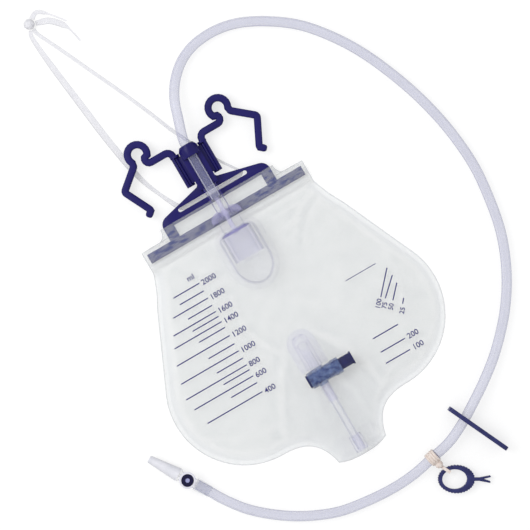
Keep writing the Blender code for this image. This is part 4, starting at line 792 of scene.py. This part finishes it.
def film_bag(material):
    """Front and back film of the bag, and the outline that both share."""
    edge = edge_points()
    end = [(SPOUT_HALF * share, SPOUT_FOOT - spout_bow(share))
           for share in np.linspace(0.9, -0.9, 19)]
    outline = edge + end + [(-px, py) for px, py in reversed(edge)]
    x, y = film_grid(edge, FRONT_COLUMNS)
    border = distance_to(x, y, outline)
    z, weld = front_level(x, y, border)
    over, clings = clinging(x, y)
    # Painted highlight on the ridges and painted shade in the furrows, with the paler patches and
    # the grey towards the spout
    (ridge_highlight, furrow_shade), (clouds, grey) = fold_highlight_and_shade(z), cloudy(x, y)
    marks = {"weld": np.maximum(weld, over), "clings": clings, "rim": rims(y, border),
             "ridge_highlight_and_patches": ridge_highlight + clouds, "furrow_shade_and_spout_grey": furrow_shade + grey}
    front = film_piece("film_front", "front_film", x, y, z, marks, material)
    x, y = film_grid(edge, BACK_COLUMNS)
    border = distance_to(x, y, outline)
    _, weld = front_level(x, y, border)
    height, size = BACK_SWELL
    swell = height * np.clip(waves(x, y, size) + 0.1, 0, 1) * (1 - weld)
    z = back_level(y) + swell * (y < HEADER_FOOT)
    marks = {"weld": weld, "rim": 0.5 * rims(y, border)}
    back = film_piece("film_back", "back_film", x, y, z, marks, material)
    for item in (front, back):
        item.visible_shadow = False
    return outline


# Printed scale: each row is the line's outer end, its height and the number beside it
LINES_END = -52.0
LEFT_SCALE = (
    (-79.0, 34.0, "2000"), (-77.0, 26.0, ""), (-88.0, 18.5, "1800"), (-77.0, 11.0, ""),
    (-96.0, 4.5, "1600"), (-79.0, -0.5, ""), (-101.0, -6.0, "1400"), (-79.0, -12.0, ""),
    (-107.0, -20.5, "1200"), (-79.0, -29.0, ""), (-112.0, -36.5, "1000"), (-79.0, -44.0, ""),
    (-115.0, -51.0, "800"), (-79.0, -56.0, ""), (-113.0, -62.5, "600"), (-79.0, -69.5, ""),
    (-109.0, -79.0, "400"),
)

# Both ends of each line, its height and the number beside it
RIGHT_SCALE = ((58.0, 84.0, -88.0, ""), (58.0, 83.0, -102.0, "200"), (57.0, 82.0, -113.0, "100"))

# Lines for a bag that hangs by one corner: both ends, and the middle of the number's foot
CORNER_SCALE = (
    ((83.0, -59.0), (101.0, -39.0), (78.0, -63.0), "100"),
    ((86.0, -62.0), (102.0, -47.0), (82.0, -67.0), "75"),
    ((91.0, -67.0), (102.0, -55.0), (86.5, -71.0), "50"),
    ((97.0, -74.0), (100.5, -70.0), (93.5, -79.0), "25"),
)
CORNER_TURN = math.radians(48)
WRITE_ON = ((63.0, -30.5), (94.0, -30.5))
LINE_WIDTH, WRITE_ON_WIDTH, LINE_STEP = 1.0, 0.6, 1.5
UNIT_AT = (-60.0, 40.0)
DIGIT_HEIGHT, SMALL_DIGITS = 5.2, 0.86
DIGIT_WEIGHT = 0.08
FONT_SIZE = 1.38
LEFT_GAP, LEFT_DROP = 2.0, 0.62
RIGHT_GAP, RIGHT_DROP = 3.0, 0.45
INK_ABOVE = 0.12


def stroke(start, end, width):
    """Strip between two places as short quads, so that it can follow the film."""
    a, b = Vector(start), Vector(end)
    along = (b - a).normalized()
    side = Vector((-along.y, along.x)) * width / 2
    count = max(2, round((b - a).length / LINE_STEP))
    points, faces = [], []
    for i in range(count + 1):
        middle = a.lerp(b, i / count)
        points += [tuple(middle + side), tuple(middle - side)]
    for i in range(count):
        faces.append((2 * i, 2 * i + 1, 2 * i + 3, 2 * i + 2))
    return points, faces


def number(text, place, height, turn=0.0, align="LEFT"):
    """Digits as flat points and faces, their foot's left end or middle at place."""
    bpy.ops.object.text_add()
    item = bpy.context.object
    item.data.body = text
    item.data.align_x = align
    item.data.size = height * FONT_SIZE
    item.data.offset = DIGIT_WEIGHT
    item.data.resolution_u = 3
    bpy.ops.object.convert(target="MESH")
    item = bpy.context.object
    rotate = Matrix.Rotation(turn, 2)
    points = [tuple(rotate @ Vector((v.co.x, v.co.y)) + Vector(place)) for v in item.data.vertices]
    faces = [tuple(p.vertices) for p in item.data.polygons]
    bpy.data.objects.remove(item)
    deselect()
    return points, faces


def printed_scale(outline, material):
    """Lines and numbers of the scale, a little above the front film."""
    parts = []
    for start, y, text in LEFT_SCALE:
        parts.append(stroke((start, y), (LINES_END, y), LINE_WIDTH))
        if text:
            foot = (LINES_END + LEFT_GAP, y - DIGIT_HEIGHT * LEFT_DROP)
            parts.append(number(text, foot, DIGIT_HEIGHT))
    for start, end, y, text in RIGHT_SCALE:
        parts.append(stroke((start, y), (end, y), LINE_WIDTH))
        if text:
            foot = (end + RIGHT_GAP, y - DIGIT_HEIGHT * RIGHT_DROP)
            parts.append(number(text, foot, DIGIT_HEIGHT))
    small = DIGIT_HEIGHT * SMALL_DIGITS
    for start, end, middle, text in CORNER_SCALE:
        parts.append(stroke(start, end, LINE_WIDTH))
        foot = (middle[0] + math.sin(CORNER_TURN) * small / 2,
                middle[1] - math.cos(CORNER_TURN) * small / 2)
        parts.append(number(text, foot, small, CORNER_TURN, "CENTER"))
    parts.append(stroke(*WRITE_ON, WRITE_ON_WIDTH))
    parts.append(number("ml", UNIT_AT, DIGIT_HEIGHT))
    points, faces = [], []
    for some_points, some_faces in parts:
        faces += [tuple(index + len(points) for index in face) for face in some_faces]
        points += some_points
    x, y = np.array([p[0] for p in points]), np.array([p[1] for p in points])
    z, _ = front_level(x, y, distance_to(x, y, outline))
    z += FILM / 2 + INK_ABOVE
    item = mesh_piece("printed_scale", list(zip(x, y, z)), faces, material, smooth=False)
    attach(item, "bag")
    return item


# Cords

def inlet_tube(skin, wall, cut):
    """Tube whose faces over the bore are clear, and those over its wall paler, partly a painted
    highlight, with painted shade at its edges.

    The short length inside the clamp is a piece of its own, with its own mesh."""
    grip, centre = distance_along(tube_line(), CLAMP_NEAR)
    line, (start, end) = marked(tube_line(), (grip - CLAMP_GRIP / 2, grip + CLAMP_GRIP / 2))
    turns = [2 * math.pi * (i + 0.5) / TUBE_SIDES for i in range(TUBE_SIDES)]
    radius = TUBE_DIAMETER / 2
    ring = [(radius * math.cos(turn), radius * math.sin(turn)) for turn in turns]
    over_bore = math.sqrt(1 - (TUBE_BORE / TUBE_DIAMETER) ** 2)
    rows = (("tube_to_connector", slice(0, start + 1)), ("tube_beyond_clamp", slice(end, None)),
            ("tube_in_clamp", slice(start, end + 1)))
    lengths = []
    for name, part in rows:
        length = swept(name, line, [ring] * len(line), skin, part=part)
        length.data.materials.append(wall)
        length.data.materials.append(cut)
        for face in length.data.polygons:
            end_face = len(face.vertices) > 4
            face.material_index = 2 if end_face else int(abs(face.normal.z) < over_bore)
        choose(length)
        bpy.ops.object.shade_smooth_by_angle(angle=math.radians(TUBE_SMOOTH_UNDER))
        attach(length, "bag")
        lengths.append(length)
    tube, beyond, gripped = lengths
    choose(tube)
    beyond.select_set(True)
    bpy.ops.object.join()
    deselect()
    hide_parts("inlet_tube")
    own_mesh(gripped)


def tape(name, line, widths, lift, material):
    """Flat tape that lies along a line, as wide as widths gives at distances from its start."""
    runs = np.cumsum([0.0] + [(b - a).length for a, b in zip(line, line[1:])])
    spans = np.interp(runs, [at for at, _ in widths], [wide for _, wide in widths])
    low, high = -TAPE_THICK / 2, TAPE_THICK / 2
    outlines = [[(c * span, high) for c in reversed(TAPE_COLUMNS)]
                + [(c * span, low) for c in TAPE_COLUMNS] for span in spans]
    level = [Vector((p.x, p.y, lift)) for p in line]
    strip = swept(name, level, outlines, material, smooth=False)
    # Painted shade along the tape's edges, column by column
    edge_shade = strip.data.attributes.new("edge_shade", "FLOAT", "POINT")
    shades = (*reversed(TAPE_EDGE_SHADES), *TAPE_EDGE_SHADES)
    edge_shade.data.foreach_set("value", [shade for _ in line for shade in shades])
    strip.visible_shadow = False
    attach(strip, "bag")
    return strip, level, float(spans.max())


def hanging_tie(material):
    """Loop and both tails of the tie, at heights that keep them off each other by the knot."""
    rows = (("tie_loop", laid(LOOP_ROUTE, True), LOOP_WIDTHS, 0.5, "hanging_cord", "knot"),
            ("tie_tail_left", laid(TAIL_LEFT), TAIL_LEFT_WIDTHS, 1.0, "cord_tail_left", "bare"),
            ("tie_tail_right", laid(TAIL_RIGHT), TAIL_RIGHT_WIDTHS, 0.5, "cord_tail_right", "bare"))
    for name, line, widths, lift, node, far_end in rows:
        strip, level, width = tape(name, line, widths, lift, material)
        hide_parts(node)


# Surroundings, with the floor's size and the lamp's place and size in metres

FLOOR_SIZE, FLOOR_DROP = 6.0, 0.4 * MM
FLOOR_TONE, FLOOR_LIFT = "#A8A8A8", 0.66
SKY_LIGHT = 0.74
LAMP_PLACE, LAMP_SIZE, LAMP_POWER = (-0.9, 0.9, 1.6), 1.2, 16.0
CLEAR_LAYERS = 32
WHITE = (1.0, 1.0, 1.0, 1.0)


def seen_rays(tree):
    """1 for the rays that show the surroundings: straight, through a piece or in its gloss."""
    path = add(tree, "ShaderNodeLightPath")
    seen = path.outputs["Is Camera Ray"]
    for kind in ("Is Transmission Ray", "Is Glossy Ray"):
        either = add(tree, "ShaderNodeMath", {0: seen, 1: path.outputs[kind]}, operation="MAXIMUM")
        seen = either.outputs[0]
    return seen


def white_floor():
    """Pale matt floor that keeps the soft shadows and is lifted to white where it is seen."""
    bpy.ops.mesh.primitive_plane_add(size=FLOOR_SIZE, location=(0.0, 0.0, -FLOOR_DROP))
    floor = bpy.context.object
    floor.name = "floor"
    material = bpy.data.materials.new("white_paper")
    material.use_nodes = True
    tree = material.node_tree
    shader = tree.nodes["Principled BSDF"]
    shader.inputs["Base Color"].default_value = colour(FLOOR_TONE)
    shader.inputs["Roughness"].default_value = 0.9
    shader.inputs["Specular IOR Level"].default_value = 0.0
    lift = add(tree, "ShaderNodeMath", {0: seen_rays(tree)}, {1: FLOOR_LIFT}, operation="MULTIPLY")
    shader.inputs["Emission Color"].default_value = WHITE
    tree.links.new(lift.outputs[0], shader.inputs["Emission Strength"])
    floor.data.materials.append(material)


def even_sky():
    """White world, plain for the light on the object and full white where it is seen."""
    world = bpy.data.worlds.new("studio")
    bpy.context.scene.world = world
    world.use_nodes = True
    tree = world.node_tree
    sky = tree.nodes["Background"]
    sky.inputs["Color"].default_value = WHITE
    level = add(tree, "ShaderNodeMapRange", {"Value": seen_rays(tree)},
                {"To Min": SKY_LIGHT, "To Max": 1.0})
    tree.links.new(level.outputs["Result"], sky.inputs["Strength"])


def soft_window():
    """One broad soft lamp from the upper left."""
    lamp = bpy.data.lights.new("window", "AREA")
    lamp.shape = "SQUARE"
    lamp.size = LAMP_SIZE
    lamp.energy = LAMP_POWER
    key = bpy.data.objects.new("window", lamp)
    key.location = LAMP_PLACE
    key.rotation_euler = (-Vector(LAMP_PLACE)).to_track_quat("-Z", "Y").to_euler()
    bpy.context.collection.objects.link(key)


def camera_above():
    """Camera straight above, whose picture is VIEW_WIDTH wide at the bag."""
    camera_data = bpy.data.cameras.new("camera")
    camera_data.sensor_width = SENSOR
    camera_data.lens = SENSOR * CAMERA_HEIGHT / VIEW_WIDTH
    camera = bpy.data.objects.new("camera", camera_data)
    camera.location = (VIEW_CENTRE[0] * MM, VIEW_CENTRE[1] * MM, (CAMERA_HEIGHT + AIM_HEIGHT) * MM)
    camera.rotation_euler = (0.0, 0.0, math.radians(VIEW_TURN))
    bpy.context.collection.objects.link(camera)
    scene = bpy.context.scene
    scene.camera = camera
    scene.view_settings.view_transform = "Standard"
    scene.cycles.transparent_max_bounces = CLEAR_LAYERS


# The model's own nodes, with finished materials

SHADOWLESS = ("violet_vinyl", "clear_vinyl", "valve_film")
# Faces whose normal's up part is under these count as steep or as walls, and take a painted wall
# shade
STEEP, WALL = 0.36, 0.55
TAP_AT, TAP_RADIUS = -92.4, 8.0
SADDLE_REACH, NECK_HALF, BORE_HALF = 7.5, 10.6, 5.0
CHAMBER_ROOF, CHAMBER_MOUTH, CHAMBER_BEAD = 59.5, 32.0, 2.6


def steep(face):
    """Faces that stand nearly upright."""
    return abs(face.normal.z) < STEEP


def wall(face):
    """Faces that stand more than they lie."""
    return abs(face.normal.z) < WALL


def outer_wall(face):
    """Sides of the inlet's saddle and neck, without the bore inside them."""
    return wall(face) and abs(face.center.x / MM) > BORE_HALF


def rim(face):
    """Beads round the drip chamber's roof and mouth."""
    return not CHAMBER_MOUTH + CHAMBER_BEAD < face.center.y / MM < CHAMBER_ROOF - CHAMBER_BEAD


def over_bar(face):
    """Saddle of the inlet, where it straddles the hanger's bar."""
    return abs(face.center.x / MM) > NECK_HALF or abs(face.center.y / MM - BAR_AT) < SADDLE_REACH


def dimple(face):
    """Centre of the septum's top face."""
    off = (face.center.xy - connector_point(SAMPLE_PORT_AT).xy * MM).length
    return off < DIMPLE_RADIUS * MM and face.center.z > (SAMPLE_TOP - DIMPLE_DEPTH) * MM


def fitting(face):
    """Outside the tap's cross barrel: its stem above and its spigot below."""
    return abs(face.center.y / MM - TAP_AT) > TAP_RADIUS


def repaint(node, material, *others):
    """Material of a model node, and others for the faces that their tests pick."""
    item = frame["nodes"][node]
    item.data.materials.clear()
    item.data.materials.append(material)
    for slot, (other, picks) in enumerate(others, 1):
        item.data.materials.append(other)
        for face in item.data.polygons:
            if picks(face):
                face.material_index = slot
    item.visible_shadow = material.name not in SHADOWLESS


def clear_mouldings():
    """Inlet, chamber, outlet, tap and connector: clear flats, with walls in a deeper tone that is
    painted shade.
    """
    violet, clear, soft = violet_vinyl(), clear_vinyl(), valve_film()
    violet_shaded_sides, clear_shaded_sides = violet_wall_shade(), clear_wall_shade()
    repaint("inlet_socket", clear, (violet_saddle(), over_bar), (violet_shaded_sides, outer_wall))
    # The drip chamber's beads take the painted wall shade as well
    repaint("drip_chamber", violet, (violet_shaded_sides, lambda face: wall(face) or rim(face)))
    repaint("outlet_tip", violet, (violet_shaded_sides, steep))
    for node in ("outlet_port", "outlet_collar"):
        repaint(node, violet, (clear_shaded_sides, steep))
    for node in ("chamber_dome", "outlet_tube", "connector_body"):
        repaint(node, clear, (clear_shaded_sides, wall))
    for node in ("anti_reflux_valve", "tip_pocket"):
        repaint(node, soft)
    repaint("tap_body", tinted_polycarbonate(), (tinted_wall_shade(), steep), (clear, fitting),
            (clear_shaded_sides, lambda face: fitting(face) and steep(face)))
    return clear


def small_parts():
    """Solid little pieces on the tap, the connector, the tube and the tie."""
    repaint("tube_sleeve", sleeve_vinyl())
    repaint("sample_ring", milky_ring())
    # The septum's dimple takes a painted highlight
    repaint("sample_septum", dark_septum_rubber(), (septum_dimple_highlight(), dimple))
    repaint("tap_plunger", moulded_tap_plunger())
    repaint("connector_cap", milky_polyethylene())
    repaint("rubber_band", natural_latex())
    repaint("cord_knot", tied_tape())


def urine_bag():
    """The whole bag: films, scale, mouldings, hanger, hooks, tube and tie."""
    printed_scale(film_bag(calendered_film()), printing_ink())
    clear = clear_mouldings()
    small_parts()
    navy, slate = moulded_navy_abs(), moulded_slate_polypropylene()
    eased("hanger_moulding", "hanger_frame", navy, 0.45)
    eased("bed_hook_left", "hook_left", navy, 0.5)
    eased("bed_hook_right", "hook_right", navy, 0.5)
    clamp = eased("clamp_plate", "slide_clamp", slate, 0.4)
    clip = eased("clip_ring", "sheet_clip", slate, 0.3)
    inlet_tube(tube_vinyl(), tube_wall(), clear)
    hanging_tie(polythene_tape())


white_floor()
even_sky()
soft_window()
camera_above()
urine_bag()
